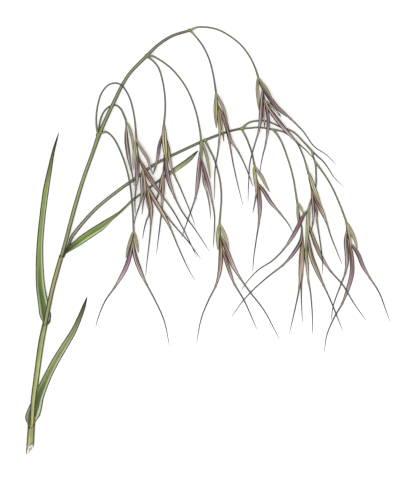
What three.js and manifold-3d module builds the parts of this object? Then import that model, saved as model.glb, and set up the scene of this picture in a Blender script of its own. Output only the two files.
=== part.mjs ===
// A cut, leafy flowering stem of ripgut brome, lying on a flat surface.
// Millimetres, +Z up. The origin is the middle of the outline, on the surface, and +Y runs
// from the cut end towards the top of the panicle.
import * as THREE from "three";
import Module from "manifold-3d";

const wasm = await Module();
wasm.setup();

// Driving dimensions
const OPEN_GAP = 0.35; // left between pieces that meet
const GLUME_GAP = 0.5; // cut out of the florets round the glumes
const STEM_SIDES = 8;
const BRANCH_SIDES = 6;
const BRANCH_WIDTH = 1.25;
const BARE_BRANCHLET = 6; // the one of the side shoot that carries no spikelet and thins out
const BARE_TIP_WIDTH = 0.65;
const KNOB_WIDTH = 1.7; // the small swelling that both glumes grow from
const KNOB_LENGTH = 2.2;
const RACHILLA_WIDTH = 1.2;
const LEMMA_WIDTH = 3;
const LEMMA_THICKNESS = 1.3;
const LEMMA_FULLNESS = 1.2; // a lemma reaches its full thickness sooner than its width
const LEMMA_STEPS = 6;
const AWN_WIDTH = 0.75;
const LONG_AWN = 25; // an awn over this length is drawn in more steps
const LONG_AWN_STEPS = 5;
const SHORT_AWN_STEPS = 3;
const GLUME_WIDTH = 2.4;
const GLUME_THICKNESS = 1;
const GLUME_TIP = { from: 0.85, thickness: 0.7 };
const GLUME_STEPS = 7;
const GLUME_LIFT = 1.45; // how far the glumes lie above the florets
const GLUME_RISE = 6; // the length in which they rise that far
const BLADE_EDGE = 0.65; // thickness of a leaf blade at its margins
const BLADE_RIB = 1.2; // and along its midrib
const RIB_FALL = 1.5; // how steeply the midrib thins out to its sides
const BLADE_COLUMNS = [-1, -0.5, 0, 0.5, 1];

// Width along a lemma and along a glume, as shares of the full width
const LEMMA_OUTLINE = [[0, 0.4], [0.15, 0.75], [0.45, 1], [0.75, 0.78], [1, 0.3]];
const GLUME_OUTLINE = [[0, 0.4], [0.2, 0.85], [0.45, 1], [0.8, 0.6], [1, 0.3]];

// The culm, from the cut end to the first whorl of branches: x, y, z and width.
// The steps in width are the collars, where a leaf sheath ends.
const CULM = [
  [-125.6, -154, 2.2, 5.4],
  [-124.7, -141, 2.5, 5.4],
  [-124, -130.2, 3.3, 5],
  [-123.8, -129.4, 3.3, 3.3],
  [-122.7, -112, 3.8, 3.6],
  [-120.8, -98, 4, 4.1],
  [-117, -71, 4.4, 4.3],
  [-114.5, -58.8, 4.7, 3.9],
  [-114.2, -57.6, 4.7, 3.1],
  [-109.5, -35, 5.4, 3.3],
  [-105.8, -21, 5.8, 3.5],
  [-103.6, -13.4, 6.1, 3.3],
  [-103.2, -12.2, 6.1, 2.7],
  [-99.8, 0, 6.5, 2.8],
  [-94.2, 21, 7.4, 3],
  [-87.9, 42, 8.4, 2.8],
  [-80.4, 63, 9.5, 2.7],
  [-76.4, 74.9, 10, 3.2],
];

// The rachis, on from there to the topmost node
const RACHIS = [
  [-77.2, 72, 9.9, 2.9],
  [-72.8, 82.6, 10.2, 2.7],
  [-66.9, 95.2, 10.7, 2.6],
  [-60.6, 108.1, 11.4, 2.4],
  [-55, 116.9, 12, 2.3],
  [-43.1, 129.1, 13, 2.4],
  [-35.4, 136.5, 13.6, 2.1],
  [-25.6, 142.8, 14.3, 2],
  [-12.3, 147, 15, 1.9],
];

// Branches of the panicle: x, y and z from the rachis to the foot of a spikelet
const PANICLE_BRANCHES = [
  [
    [-13.5, 146.6, 15], [-8.1, 148.9, 16], [-2.5, 149.1, 17.5], [4.5, 147.9, 19], [11.5, 144.9, 20.3],
    [22, 137.2, 21], [29, 128.1, 20], [33.2, 119, 18.3], [34.6, 114.5, 17],
  ],
  [
    [-12.8, 146.8, 15], [-9.5, 143.2, 14.5], [-3.9, 135.8, 13.6], [0.7, 126, 12.6],
    [3.5, 114.8, 11.6], [5.2, 103.8, 11],
  ],
  [
    [-43.6, 128.7, 13.2], [-39.6, 128.9, 14.5], [-35.4, 127, 15.6], [-25.6, 119.7, 17], [-15.8, 107.1, 17],
    [-9.5, 92.4, 15], [-6, 77, 12.8], [-5.3, 71.2, 12],
  ],
  [
    [-43.4, 129, 12.8], [-38.9, 125.6, 12], [-35.4, 121.4, 11.4], [-33.3, 116.2, 11],
    [-30.8, 103.6, 10.3], [-30.3, 92, 9.8], [-31.2, 81.6, 9.5],
  ],
  [
    [-77.2, 73.8, 10.4], [-78.4, 80.5, 12.6], [-78.4, 88, 14.6], [-77.2, 95.6, 16], [-74.6, 103.2, 16.8],
    [-70.5, 108.2, 17], [-66, 109.9, 16.9], [-61.3, 108.8, 16.5], [-55.7, 100.8, 15.4],
    [-52.2, 88.2, 13.8], [-50.4, 71.2, 12],
  ],
  [
    [-77, 73.8, 9.4], [-76, 82.6, 7.6], [-74.2, 88.2, 7], [-71.8, 91.7, 6.8], [-68.3, 94.1, 6.8],
    [-64.8, 94.5, 7], [-61.3, 91.7, 7.4], [-57.8, 83.9, 8],
  ],
  [
    [-76.4, 74.6, 10.2], [-71.8, 75.7, 10.6], [-69, 74.2, 10.6], [-65.5, 70, 10.4], [-59.2, 56, 9.8],
    [-55.3, 41.3, 9.2], [-53.2, 23, 8.4], [-52.4, 7, 7.5],
  ],
];

// The side shoot out of the axil of the top leaf, with its two nodes: x, y, z and width
const SIDE_SHOOT = [
  [-97.4, -2.1, 5, 2],
  [-96, 1.8, 4.8, 2.4],
  [-92.9, 6.3, 4.4, 2.5],
  [-79.1, 21.8, 4.6, 2.4],
  [-61.7, 35.9, 4.5, 2.2],
  [-51.3, 43.1, 4.3, 2.1],
  [-37.5, 53.2, 4.2, 2],
  [-20, 62, 4.5, 1.9],
  [-2.5, 70, 5.1, 1.9],
  [13.6, 76, 5.8, 1.6],
  [24.1, 78.4, 6.4, 1.7],
];
const SIDE_SHOOT_BRANCHES = [
  [
    [-2.5, 70, 5.1], [1, 63, 5.1], [3.1, 58.8, 5.1], [5.2, 53.2, 5.2],
    [8, 42, 5.4], [9, 30, 5.7], [7.7, 12.2, 6],
  ],
  [
    [23.2, 78.2, 6.2], [24.8, 74.9, 6.2], [26.9, 70.7, 6], [29, 65.1, 5.6],
    [30.8, 59.5, 5], [32.1, 52.8, 4.5],
  ],
  [[23, 78.2, 6.4], [29, 78.5, 6.5], [34.6, 79, 6.5], [39.5, 78.5, 6.5], [45.8, 77.4, 6.4]],
  [
    [45.4, 77.4, 6.4], [49.3, 72.1, 6.1], [52.1, 66.5, 5.8], [54.9, 58.8, 5.4], [57.4, 51.1, 5],
    [59.5, 42.7, 4.5], [62, 27.3, 3.6],
  ],
  [
    [45.2, 77.5, 6.5], [52.1, 76, 7.2], [57, 73.2, 7.8], [61.2, 69.3, 8.4], [66.1, 59.5, 9.2],
    [69.5, 48.6, 9.5],
  ],
  [
    [23.2, 78.2, 6.6], [27.6, 81.9, 7.3], [31.8, 83.3, 7.7], [40.9, 83.3, 8], [50, 79.5, 8],
    [59.1, 76, 7.9], [66.8, 68.6, 7.6], [73.2, 61.6, 7.2],
  ],
  [
    [72.2, 62.6, 7.2], [76.6, 58.5, 6], [80.8, 54.6, 4.6], [84.3, 49.7, 3],
    [88.5, 43.4, 1.4], [96.2, 36.4, 0.5],
  ],
  [[72.6, 62.2, 7.1], [73.4, 58, 7], [74.7, 54.2, 7], [75.3, 46, 7], [75.1, 38, 7], [71.2, 26.2, 7]],
  [[74.4, 55, 7], [78, 50.4, 6.8], [85, 39.9, 6.4], [91.3, 26.6, 5.9], [96.2, 13.7, 5.5]],
];

// Leaf blades: x, y, z of the midrib's upper face, width, depth of the trough and roll in degrees
const BLADES = {
  leaf_blade_1: [
    [-123.9, -128.4, 1.3, 5, 1, 0],
    [-123.3, -123, 1.4, 8.8, 1, 0],
    [-121.1, -116.6, 1.3, 8.5, 1, 0],
    [-119.1, -110, 1, 7.4, 0.6, 0],
    [-115.7, -102, 0.9, 6.2, 0.5, 0],
    [-112, -93.9, 0.8, 5.5, 0.35, 0],
    [-106.9, -84.1, 0.8, 5.3, 0.3, 0],
    [-100.8, -74, 0.85, 4.9, 0.4, 0],
    [-94.3, -63.1, 1.2, 4, 0.5, 0],
    [-88.6, -50, 1.8, 2.8, 0.5, 0],
    [-85.1, -39.9, 2, 1, 0.2, 0],
  ],
  leaf_blade_2: [
    [-114.3, -57.1, 2.5, 4.2, 0.8, 0],
    [-114.9, -50.4, 2, 7.8, 1, 0],
    [-116.2, -42, 1.9, 7, 1.2, 0],
    [-117.7, -31.5, 2, 6.3, 1.2, 0],
    [-118.3, -17.5, 1.4, 5.5, 0.8, 0],
    [-118, -2, 0.9, 4.6, 0.5, 0],
    [-116.6, 14, 0.8, 4.3, 0.4, 0],
    [-113.9, 35, 0.8, 4.3, 0.4, 0],
    [-111.6, 47.6, 0.9, 3.4, 0.4, 0],
    [-108.7, 62, 1.2, 2, 0.3, 0],
    [-104.9, 75.4, 1.6, 1, 0.1, 0],
  ],
  leaf_blade_3: [
    [-102.9, -11.4, 4.1, 3.2, 0.9, 0],
    [-99.9, -8.2, 2.7, 5.4, 1, 0],
    [-94.9, -4.2, 2, 5.8, 1.1, 0],
    [-89, 0.2, 1.8, 5.8, 1.3, 0],
    [-82, 5, 1.8, 5.7, 1.2, 0],
    [-74.8, 9.4, 2, 5.4, 1, 20],
    [-68.2, 14.4, 2.5, 5, 0.8, 55],
    [-61.6, 20, 2.8, 4.8, 0.6, 80],
    [-54, 27.4, 2.9, 4.6, 0.5, 90],
    [-41, 37.1, 2.8, 4.4, 0.5, 90],
    [-30.5, 44.5, 2.5, 4.2, 0.5, 75],
    [-25.4, 47.6, 2.2, 3.8, 0.5, 45],
    [-19.8, 51.8, 1.5, 3.5, 0.5, 15],
    [-13.5, 56.7, 1, 2.9, 0.4, 0],
    [-7.4, 62.7, 0.9, 1, 0.1, 0],
  ],
};

// Spikelets. foot: where the branch ends. rachilla: the nodes that the florets grow from.
// glumes: their course from the foot, the drop to their tip, and their width.
// florets: at, the rachilla node; lemma and awn, their course; z at the lemma's tip and the awn's.
const SPIKELETS = [
  {
    foot: [-57.8, 83.3, 8],
    rachilla: [[-57.6, 79.1, 7.8]],
    glumes: [{ course: [[-55.7, 79.8], [-53.6, 72.1], [-52.5, 63], [-52.2, 58.1]], drop: 1, width: 2 }],
    florets: [
      {
        at: 0, lemma: [[-57.4, 70], [-55.7, 57.4], [-54.3, 50.4]],
        awn: [[-52.9, 43.4], [-51.8, 37.8]], z: [7, 6.8],
      },
    ],
  },
  {
    foot: [-50.4, 70.7, 12],
    rachilla: [[-49.4, 61.6, 11.6], [-48, 56, 11.3], [-45.9, 50.4, 11], [-43.4, 39.2, 10.2]],
    glumes: [
      { course: [[-51.2, 68], [-51.9, 62], [-52.4, 54.6], [-52.3, 49]], drop: 1.4, width: 2 },
      {
        course: [[-49, 67.6], [-45.9, 62.3], [-42.7, 57], [-41, 51.8], [-38.9, 46.2]],
        drop: 1.6, width: 2.2,
      },
    ],
    florets: [
      {
        at: 0, lemma: [[-49.8, 52.5], [-50.1, 43.4], [-50.8, 37.1]],
        awn: [[-51.5, 28], [-51.2, 18.2]], z: [9.5, 8.2],
      },
      {
        at: 1, lemma: [[-44.4, 49], [-37.4, 37.8], [-33.3, 32.2]],
        awn: [[-25.6, 21.7], [-17.2, 7], [-8.1, -11.9]], z: [9.3, 4],
      },
      {
        at: 2, lemma: [[-46.2, 42], [-46.2, 33.6], [-47.3, 28]],
        awn: [[-49, 22.4], [-50.8, 16.8], [-52.2, 10.5]], z: [8.5, 5.6],
      },
      {
        at: 3, lemma: [[-42, 30.8], [-40.3, 22.4], [-40.3, 12.6]],
        awn: [[-41.3, 0], [-43.1, -15.4], [-44.1, -25.2]], z: [8.5, 6.8],
      },
      {
        at: 3, lemma: [[-38.9, 30.1], [-34.7, 23.1], [-27.3, 9.8]],
        awn: [[-21.4, -4.2], [-14.4, -19.6], [-9.5, -28]], z: [7.8, 3],
      },
      {
        at: 3, lemma: [[-38.4, 30.8], [-32.2, 21]], width: 1.6,
        awn: [[-23.5, 9.8], [-14.4, -0.7], [-5.3, -13.3]], z: [8.2, 3.6],
      },
      {
        at: 2, lemma: [[-44.6, 40], [-44.5, 32]], width: 1.6,
        awn: [[-45.6, 26.6], [-46.6, 17.5]], z: [9.2, 8],
      },
      {
        at: 3, lemma: [[-42.8, 27], [-41.6, 18]], width: 1.6,
        awn: [[-43.1, 14.7], [-45.2, 7], [-46.3, 0.7]], z: [7.4, 6.2],
      },
    ],
  },
  {
    foot: [-31.2, 81.1, 9.5],
    rachilla: [[-31.2, 76.3, 9.4], [-30.8, 63, 9.1], [-31.6, 47.6, 8.2]],
    glumes: [{ course: [[-31.1, 77.6], [-30.8, 70], [-29.8, 59.5], [-28.4, 53.9]], drop: 1, width: 3.8 }],
    florets: [
      {
        at: 0, lemma: [[-34, 67.9], [-35.6, 58], [-37.2, 51.1]], width: 2.4,
        awn: [[-38, 48.4], [-38.9, 45.9]], z: [8, 7.7],
      },
      {
        at: 0, lemma: [[-28, 63], [-27, 56], [-25.3, 49]], width: 2.4,
        awn: [[-20, 37.1], [-14.4, 23.8], [-9.1, 9.8]], z: [8, 4.6],
      },
      {
        at: 1, lemma: [[-29.5, 50.4], [-27.6, 41], [-23.9, 30.8]],
        awn: [[-18.6, 20.3], [-9.5, 7.7], [0.6, -7.7]], z: [7.5, 3],
      },
      {
        at: 2, lemma: [[-33, 42], [-33.9, 36], [-35.4, 31.5]],
        awn: [[-36, 29], [-36.8, 26.6]], z: [7, 6.6], width: 2.4,
      },
      {
        at: 2, lemma: [[-31.9, 35], [-32.4, 29], [-32.6, 22.4]],
        awn: [[-34, 10.5], [-36.5, -9.8]], z: [6.6, 4.4], width: 2.4,
      },
    ],
  },
  {
    foot: [-5.3, 70.7, 12],
    rachilla: [[-5.3, 64.4, 11.6], [-4.6, 56, 11.2], [-3.9, 47.6, 10.7]],
    glumes: [
      { course: [[-5.3, 69], [-4.9, 63], [-5.1, 55.5]], drop: 0.8, width: 2.4 },
      { course: [[-4.4, 68.6], [-1.8, 60.9], [0.4, 50], [1.4, 43]], drop: 1.4, width: 2 },
    ],
    florets: [
      {
        at: 0, lemma: [[-6.4, 52], [-7.4, 42], [-9.1, 30.1]],
        awn: [[-11.6, 22.4], [-15.1, 12.6], [-18.9, 1.4]], z: [9, 7.2],
      },
      {
        at: 1, lemma: [[-1.8, 45.5], [0, 39.2], [2.4, 28]], width: 2.6,
        awn: [[4.2, 17.5], [4.2, 9.8], [3.2, -5.6]], z: [9, 6],
      },
      { at: 2, lemma: [[-2.8, 39.2], [-1.1, 33.6]], awn: [[0.7, 24.5], [1.6, 14.7]], z: [9.5, 8], width: 2 },
    ],
  },
  {
    foot: [5.2, 103.3, 11],
    rachilla: [[5.9, 98, 10.9], [7.3, 93.1, 10.7], [9.4, 86.8, 10.4]],
    glumes: [
      { course: [[5.3, 100.1], [5, 92.4], [5.1, 85.4], [5.6, 78.4]], drop: 1.2, width: 2.8 },
      { course: [[7.2, 99.4], [10.5, 92.4], [12.2, 86.8], [13.5, 81.9]], drop: 1, width: 2 },
    ],
    florets: [
      {
        at: 0, lemma: [[7.3, 85.4], [8, 78.4], [7.5, 70]],
        awn: [[6.6, 62], [4.6, 49], [4.2, 28.7]], z: [9, 7.8], width: 2.4,
      },
      {
        at: 1, lemma: [[9.4, 80.5], [10.1, 74.2]],
        awn: [[10.5, 71.4], [10.8, 68.6]], z: [9.2, 9], width: 1.6,
      },
      {
        at: 1, lemma: [[10.8, 85.4], [12.9, 79.1], [14.7, 68.6]],
        awn: [[16.8, 56], [19.6, 42.7], [24.1, 24.5]], z: [8.8, 6],
      },
      {
        at: 2, lemma: [[12.4, 79.8], [16, 69.4], [20.6, 62.3]], width: 2.2,
        awn: [[25.5, 52.5], [31.3, 37.5]], z: [8.8, 7.6],
      },
    ],
  },
  {
    foot: [34.7, 114, 17],
    rachilla: [[36, 109.2, 16.7], [37.8, 105, 16.3], [39.5, 98, 15.7]],
    glumes: [
      { course: [[34.3, 111.6], [34.3, 105], [34.8, 96.6], [35.3, 91]], drop: 1.6, width: 2.4 },
      { course: [[37, 110.4], [40.9, 105], [43.4, 100.8], [45.1, 98]], drop: 1, width: 2.2 },
    ],
    florets: [
      {
        at: 0, lemma: [[40.9, 102.2], [47.9, 93.1], [57, 85.4]],
        awn: [[66.1, 76.3], [73.8, 65.8], [82.9, 59.5], [89.9, 52.2]], z: [13.5, 9.6],
      },
      {
        at: 2, lemma: [[44.4, 93.8], [49.3, 88.2]],
        awn: [[50, 87.4], [50.7, 86.6]], z: [15, 14.8], width: 1.8,
      },
      {
        at: 1, lemma: [[37.4, 98], [36.6, 86], [35.3, 77]],
        awn: [[32.2, 66.5], [29, 53.9], [28, 38.5], [27.6, 25.9]], z: [12.5, 9.2],
      },
      { at: 2, lemma: [[38.9, 90], [39.2, 82]], awn: [[39.2, 80.5], [39.2, 79]], z: [14, 13.6], width: 1.6 },
      {
        at: 2, lemma: [[41.8, 84], [40.2, 68.6]],
        awn: [[37.4, 56.7], [35.7, 46.2]], z: [11.8, 9.8], width: 2.4,
      },
      {
        at: 2, lemma: [[42.3, 92.4], [49.3, 82.6], [61.2, 69.3]],
        awn: [[68.2, 63], [74.5, 56]], z: [12, 10.5],
      },
    ],
  },
  {
    foot: [32.3, 52.3, 4.5],
    rachilla: [[33.2, 45.5, 4.2], [34.6, 39.9, 3.9]],
    glumes: [
      { course: [[31.9, 50], [32.5, 45], [33.2, 38.5], [33.9, 32.9]], drop: 0.8, width: 2.4 },
      { course: [[34, 49.2], [37.4, 44.1], [40.2, 38.5], [43, 33.6]], drop: 0.8, width: 2.2 },
    ],
    florets: [
      {
        at: 1, lemma: [[35.3, 32.9], [35.9, 22], [35.3, 12.6]],
        awn: [[33.6, 1.4], [31.8, -11.2], [30.9, -21.7]], z: [2.2, 0.4],
      },
      {
        at: 1, lemma: [[38.8, 34.3], [43.4, 26.8], [49.3, 19.9]], width: 2.8,
        awn: [[55.6, 11.9], [59.1, 5.6]], z: [2.5, 1.5],
      },
      {
        at: 0, lemma: [[33.4, 37], [33.2, 30.8]],
        awn: [[31.8, 23.1], [30.9, 18.9]], z: [3.2, 2.4], width: 1.6,
      },
    ],
  },
  {
    foot: [62.1, 26.8, 3.6],
    rachilla: [[63.4, 18.9, 2.8], [65.4, 8.4, 2.1], [66.1, 0, 1.8]],
    glumes: [
      { course: [[62.4, 24.4], [62.7, 17.5], [63.2, 9.8]], drop: 0.8, width: 1.9 },
      { course: [[63.4, 24.9], [65.1, 21.7], [66.8, 18.2]], drop: 0.4, width: 1.7 },
    ],
    florets: [
      {
        at: 1, lemma: [[64.7, 0], [60, -8.4], [52.8, -16.8]], width: 2.6,
        awn: [[43, -24.5], [32.5, -33.6], [23.4, -43.4], [16.1, -53.9]], z: [1.5, 0.4],
      },
      {
        at: 2, lemma: [[65.1, -8.4], [64.5, -21], [63.7, -32.2]],
        awn: [[61.2, -45.5], [56.7, -65.1]], z: [1.4, 0],
      },
      {
        at: 2, lemma: [[66.4, -8], [66.2, -15], [65.8, -22.4]], width: 2.2,
        awn: [[65.1, -31.5], [65.1, -42], [65.8, -57.4]], z: [1.9, 0.5],
      },
    ],
  },
  {
    foot: [69.6, 48.1, 9.5],
    rachilla: [[70.7, 42, 9.2], [72.1, 35, 8.9], [74.5, 25.2, 8.6]],
    glumes: [
      {
        course: [[71, 44.8], [73.1, 38.2], [75.4, 32.4], [77.4, 27.3], [79.1, 23.1]],
        drop: 1, width: 3,
      },
    ],
    florets: [
      {
        at: 1, lemma: [[74.5, 30.1], [77.4, 24.5], [82.3, 13.3]],
        awn: [[85.7, 2.8], [90.7, -9.8], [93.5, -16.8]], z: [7.8, 6],
      },
      {
        at: 1, lemma: [[73.1, 25.9], [73.6, 18.9], [73.1, 12.6]],
        awn: [[72.6, 9.4], [72.1, 6.3]], z: [8.4, 8.2], width: 2.4,
      },
      {
        at: 2, lemma: [[75.8, 19.5], [75.9, 14]], width: 1.8,
        awn: [[78, 0], [79.8, -14], [79.8, -23.8]], z: [8.2, 7.2],
      },
    ],
  },
  {
    foot: [71, 25.7, 7],
    rachilla: [[70.5, 21.5, 6.9], [69.6, 12.6, 6.4], [70, 1.4, 5.8]],
    glumes: [{ course: [[70.2, 21], [69.6, 12], [69.1, 3], [67.9, -7.7]], drop: 1.6, width: 2.8 }],
    florets: [
      {
        at: 0, lemma: [[67.5, 18.6], [59.8, 4.2], [53.2, -5.6]], width: 2.8,
        awn: [[45.1, -14], [34.6, -21], [26.2, -30.1], [23.1, -35]], z: [4, 1.4],
      },
      {
        at: 2, lemma: [[68.4, -8.4], [69.1, -18], [70, -28.7]], width: 2.4,
        awn: [[71.4, -36.4], [72.7, -52.5], [72.8, -65.8]], z: [4.2, 1],
      },
      {
        at: 2, lemma: [[72.1, -11.2], [75.8, -21], [80.2, -30.8]],
        awn: [[85.7, -42.7], [91.3, -56.7], [94.1, -63.7]], z: [4.8, 3.4],
      },
      {
        at: 1, lemma: [[72.1, 4.9], [77.6, -9], [85, -21]], width: 2.8,
        awn: [[94.1, -31.5], [101.8, -44.1], [110.2, -56]], z: [5, 4],
      },
    ],
  },
  {
    foot: [96.3, 13.2, 5.5],
    rachilla: [[96.9, 7, 5.2], [98.7, -1.4, 4.8]],
    glumes: [
      { course: [[97.8, 10.6], [100.2, 5.4], [102.7, -0.4], [104.3, -6.3]], drop: 0.8, width: 2.4 },
      { course: [[97.2, 10], [99, 2], [99.8, -6]], drop: 0.8, width: 1.8 },
    ],
    florets: [
      {
        at: 0, lemma: [[96.2, 0], [97.1, -12], [95.9, -22.4]],
        awn: [[92, -32.9], [87.5, -45.5], [85.9, -56]], z: [2.6, 1],
      },
      {
        at: 1, lemma: [[100.3, -12], [100.3, -23.8], [94.1, -43.4]],
        awn: [[87.8, -54.6], [82.9, -66.5], [81.1, -78.4]], z: [2, 0],
      },
      {
        at: 1, lemma: [[104.4, -9.1], [108, -17.8], [112.7, -25.9]], width: 2.8,
        awn: [[119.4, -36.4], [124.3, -49], [127.1, -57]], z: [2.8, 0],
      },
    ],
  },
  {
    foot: [-52.4, 6.4, 7.5],
    rachilla: [[-52.9, 0, 7]],
    glumes: [
      { course: [[-53.4, 4.2], [-55, -1.4], [-56.7, -7], [-57.8, -12.6]], drop: 1, width: 2.2 },
      { course: [[-51.6, 4.2], [-50.1, -2.1], [-48.9, -9.1]], drop: 0.8, width: 2 },
    ],
    florets: [
      {
        at: 0, lemma: [[-55, -9.8], [-58, -19.5], [-65.5, -32.6]],
        awn: [[-72.5, -42.7], [-77.4, -54.6], [-79.1, -60.9]], z: [3, 0.4],
      },
      {
        at: 0, lemma: [[-51.3, -11.2], [-47.8, -21.4], [-43.8, -30.1]],
        awn: [[-37.5, -42], [-31.2, -56], [-27.3, -74.2]], z: [3.2, 0],
      },
    ],
  },
  {
    foot: [7.7, 11.8, 6],
    rachilla: [[8.4, 3.5, 5.6], [9.4, -5.6, 5.2]],
    glumes: [
      { course: [[7.2, 8.6], [6.6, 1.4], [6.6, -7]], drop: 0.8, width: 2.6 },
      { course: [[8.8, 9.6], [10.8, 4.9], [12.9, -0.7], [14.3, -7]], drop: 0.9, width: 2.2 },
    ],
    florets: [
      {
        at: 0, lemma: [[8.6, -9.8], [7.9, -21], [5.2, -31.5]],
        awn: [[0, -42], [-5, -54.6], [-8.4, -72.1]], z: [3, 0.4],
      },
      {
        at: 1, lemma: [[11.6, -12], [15.4, -23.8], [17.8, -30.1]], width: 2.6,
        awn: [[24.8, -42], [33.9, -62.3]], z: [3.8, 0.9],
      },
      {
        at: 0, lemma: [[12.2, -5.6], [16.3, -16.1], [21.7, -25.9]],
        awn: [[29.7, -37.1], [38.8, -49], [49.7, -69.3]], z: [4.4, 0.6],
      },
    ],
  },
];

// Reads a table of [place, value] rows, with straight lines between them
function readOff(table, place) {
  const after = table.findIndex(([at]) => at >= place);
  if (after <= 0) return table[0][1];
  const [from, low] = table[after - 1];
  const [to, high] = table[after];
  return low + ((high - low) * (place - from)) / (to - from);
}

// A closed solid from its corners and the triangles between them
function solidOf(corners, triangles) {
  const make = (order) =>
    new wasm.Manifold(
      new wasm.Mesh({
        numProp: 3,
        vertProperties: new Float32Array(corners.flatMap((corner) => corner.toArray())),
        triVerts: new Uint32Array(order),
      }),
    );
  const solid = make(triangles);
  return solid.volume() > 0 ? solid : make(triangles.toReversed());
}

// Skins rings of corners, all of one even number, into a closed solid. Its far end is flat, or
// comes to a point. The second half of a ring is split the other way, so that a thin blade's two
// faces are split alike.
function skin(rings, point = null) {
  const around = rings[0].length;
  const triangles = [];
  const quad = (a, b, c, d, turned) => triangles.push(...(turned ? [a, b, d, b, c, d] : [a, b, c, a, c, d]));
  const cap = (start, facing) => {
    for (let k = 0; k < around / 2 - 1; k++) {
      const corners = [k, k + 1, around - 2 - k, around - 1 - k].map((corner) => start + corner);
      quad(...(facing ? corners : corners.toReversed()), false);
    }
  };
  for (let i = 0; i + 1 < rings.length; i++) {
    for (let k = 0; k < around; k++) {
      const next = (k + 1) % around;
      const here = i * around;
      const there = here + around;
      quad(here + k, here + next, there + next, there + k, k >= around / 2);
    }
  }
  const last = (rings.length - 1) * around;
  cap(0, false);
  if (point) {
    for (let k = 0; k < around; k++) triangles.push(last + k, last + ((k + 1) % around), last + around);
    return solidOf([...rings.flat(), point], triangles);
  }
  cap(last, true);
  return solidOf(rings.flat(), triangles);
}

// The smooth curve through a list of points, and its frame at t: side lies level, to the right
function smooth(points) {
  const corners = points.map(([x, y, z]) => new THREE.Vector3(x, y, z));
  return new THREE.CatmullRomCurve3(corners, false, "centripetal");
}
function frameAt(curve, t, evenly = false) {
  const centre = evenly ? curve.getPointAt(t) : curve.getPoint(t);
  const along = evenly ? curve.getTangentAt(t) : curve.getTangent(t);
  const side = new THREE.Vector3(along.y, -along.x, 0).normalize();
  const up = side.clone().cross(along);
  const place = (right, high) => centre.clone().addScaledVector(side, right).addScaledVector(up, high);
  return { centre, along, place };
}

// Frames at even steps between the rows of a route, with the rows' further values read between them
function stationsOf(rows, stepsPerSpan) {
  const curve = smooth(rows);
  const spans = rows.length - 1;
  return Array.from({ length: spans * stepsPerSpan + 1 }, (_, i) => {
    const place = i / stepsPerSpan;
    const span = Math.min(Math.floor(place), spans - 1);
    const values = rows[span].slice(3).map((value, j) => {
      const next = rows[span + 1][3 + j];
      return value + (next - value) * (place - span);
    });
    return { ...frameAt(curve, place / spans), values };
  });
}

// A many-sided stem along rows of x, y, z and width, with a flat side down
function stem(rows, sides, stepsPerSpan) {
  const rings = stationsOf(rows, stepsPerSpan).map(({ place, values: [width] }) =>
    Array.from({ length: sides }, (_, k) => {
      const angle = ((k + 0.5) / sides) * 2 * Math.PI;
      return place((width / 2) * Math.cos(angle), (width / 2) * Math.sin(angle));
    }),
  );
  return skin(rings);
}

// A branch that ends just short of the foot of the spikelet that hangs from it
function branch(points, tipWidth = BRANCH_WIDTH) {
  const end = new THREE.Vector3(...points.at(-1));
  const before = new THREE.Vector3(...points.at(-2));
  const back = before.sub(end).setLength(OPEN_GAP);
  const rows = [...points.slice(0, -1), end.add(back).toArray()].map((row, i) => [
    ...row,
    BRANCH_WIDTH + ((tipWidth - BRANCH_WIDTH) * i) / (points.length - 1),
  ]);
  return stem(rows, BRANCH_SIDES, 2);
}

// A leaf blade, troughed along its midrib, rolled as its rows say, and pointed at the tip
function blade(rows) {
  const stations = stationsOf(rows, 2);
  const rings = stations.slice(0, -1).map(({ place, values: [width, trough, roll] }) => {
    const angle = THREE.MathUtils.degToRad(roll);
    const corner = (column, below) => {
      const right = (column * width) / 2;
      const rib = (1 - Math.abs(column)) ** RIB_FALL;
      const thickness = BLADE_EDGE + (BLADE_RIB - BLADE_EDGE) * rib;
      const high = trough * column ** 2 - below * thickness;
      return place(
        right * Math.cos(angle) - high * Math.sin(angle),
        right * Math.sin(angle) + high * Math.cos(angle),
      );
    };
    const top = BLADE_COLUMNS.map((column) => corner(column, 0));
    const bottom = BLADE_COLUMNS.toReversed().map((column) => corner(column, 1));
    return [...top, ...bottom];
  });
  return skin(rings, stations.at(-1).place(0, -BLADE_EDGE / 2));
}

const POINT_GROWTH = 3; // a grown spike's point moves on by more than its sides do

// A four-sided pointed spike along points, as wide and thick as sizeAt says at each of the shares
function spike(points, shares, sizeAt, grow = 0) {
  const curve = smooth(points);
  const rings = shares.slice(0, -1).map((share) => {
    const [width, thickness] = sizeAt(share).map((size) => size / 2 + grow);
    const { place } = frameAt(curve, share, true);
    return [place(width, 0), place(0, thickness), place(-width, 0), place(0, -thickness)];
  });
  const { centre, along } = frameAt(curve, shares.at(-1), true);
  return skin(rings, centre.addScaledVector(along, grow * POINT_GROWTH));
}
const evenShares = (count) => Array.from({ length: count + 1 }, (_, i) => i / count);

// Running lengths along level points, from the first
function lengthsAlong(points) {
  const lengths = [0];
  for (let i = 1; i < points.length; i++) {
    const [fromX, fromY] = points[i - 1];
    const [toX, toY] = points[i];
    lengths.push(lengths[i - 1] + Math.hypot(toX - fromX, toY - fromY));
  }
  return lengths;
}

// One glume: it rises above the florets near its foot, then falls by its drop
function glume(foot, { course, drop, width }, grow) {
  const points = [foot, ...course];
  const lengths = lengthsAlong(points);
  const whole = lengths.at(-1);
  const route = points.map(([x, y], i) => {
    const rise = GLUME_LIFT * Math.min(1, lengths[i] / GLUME_RISE);
    return [x, y, foot[2] + rise - (drop * lengths[i]) / whole];
  });
  const sizeAt = (share) => [
    (width ?? GLUME_WIDTH) * readOff(GLUME_OUTLINE, share),
    GLUME_THICKNESS * (share < GLUME_TIP.from ? 1 : GLUME_TIP.thickness),
  ];
  return spike(route, evenShares(GLUME_STEPS), sizeAt, grow);
}

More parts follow.
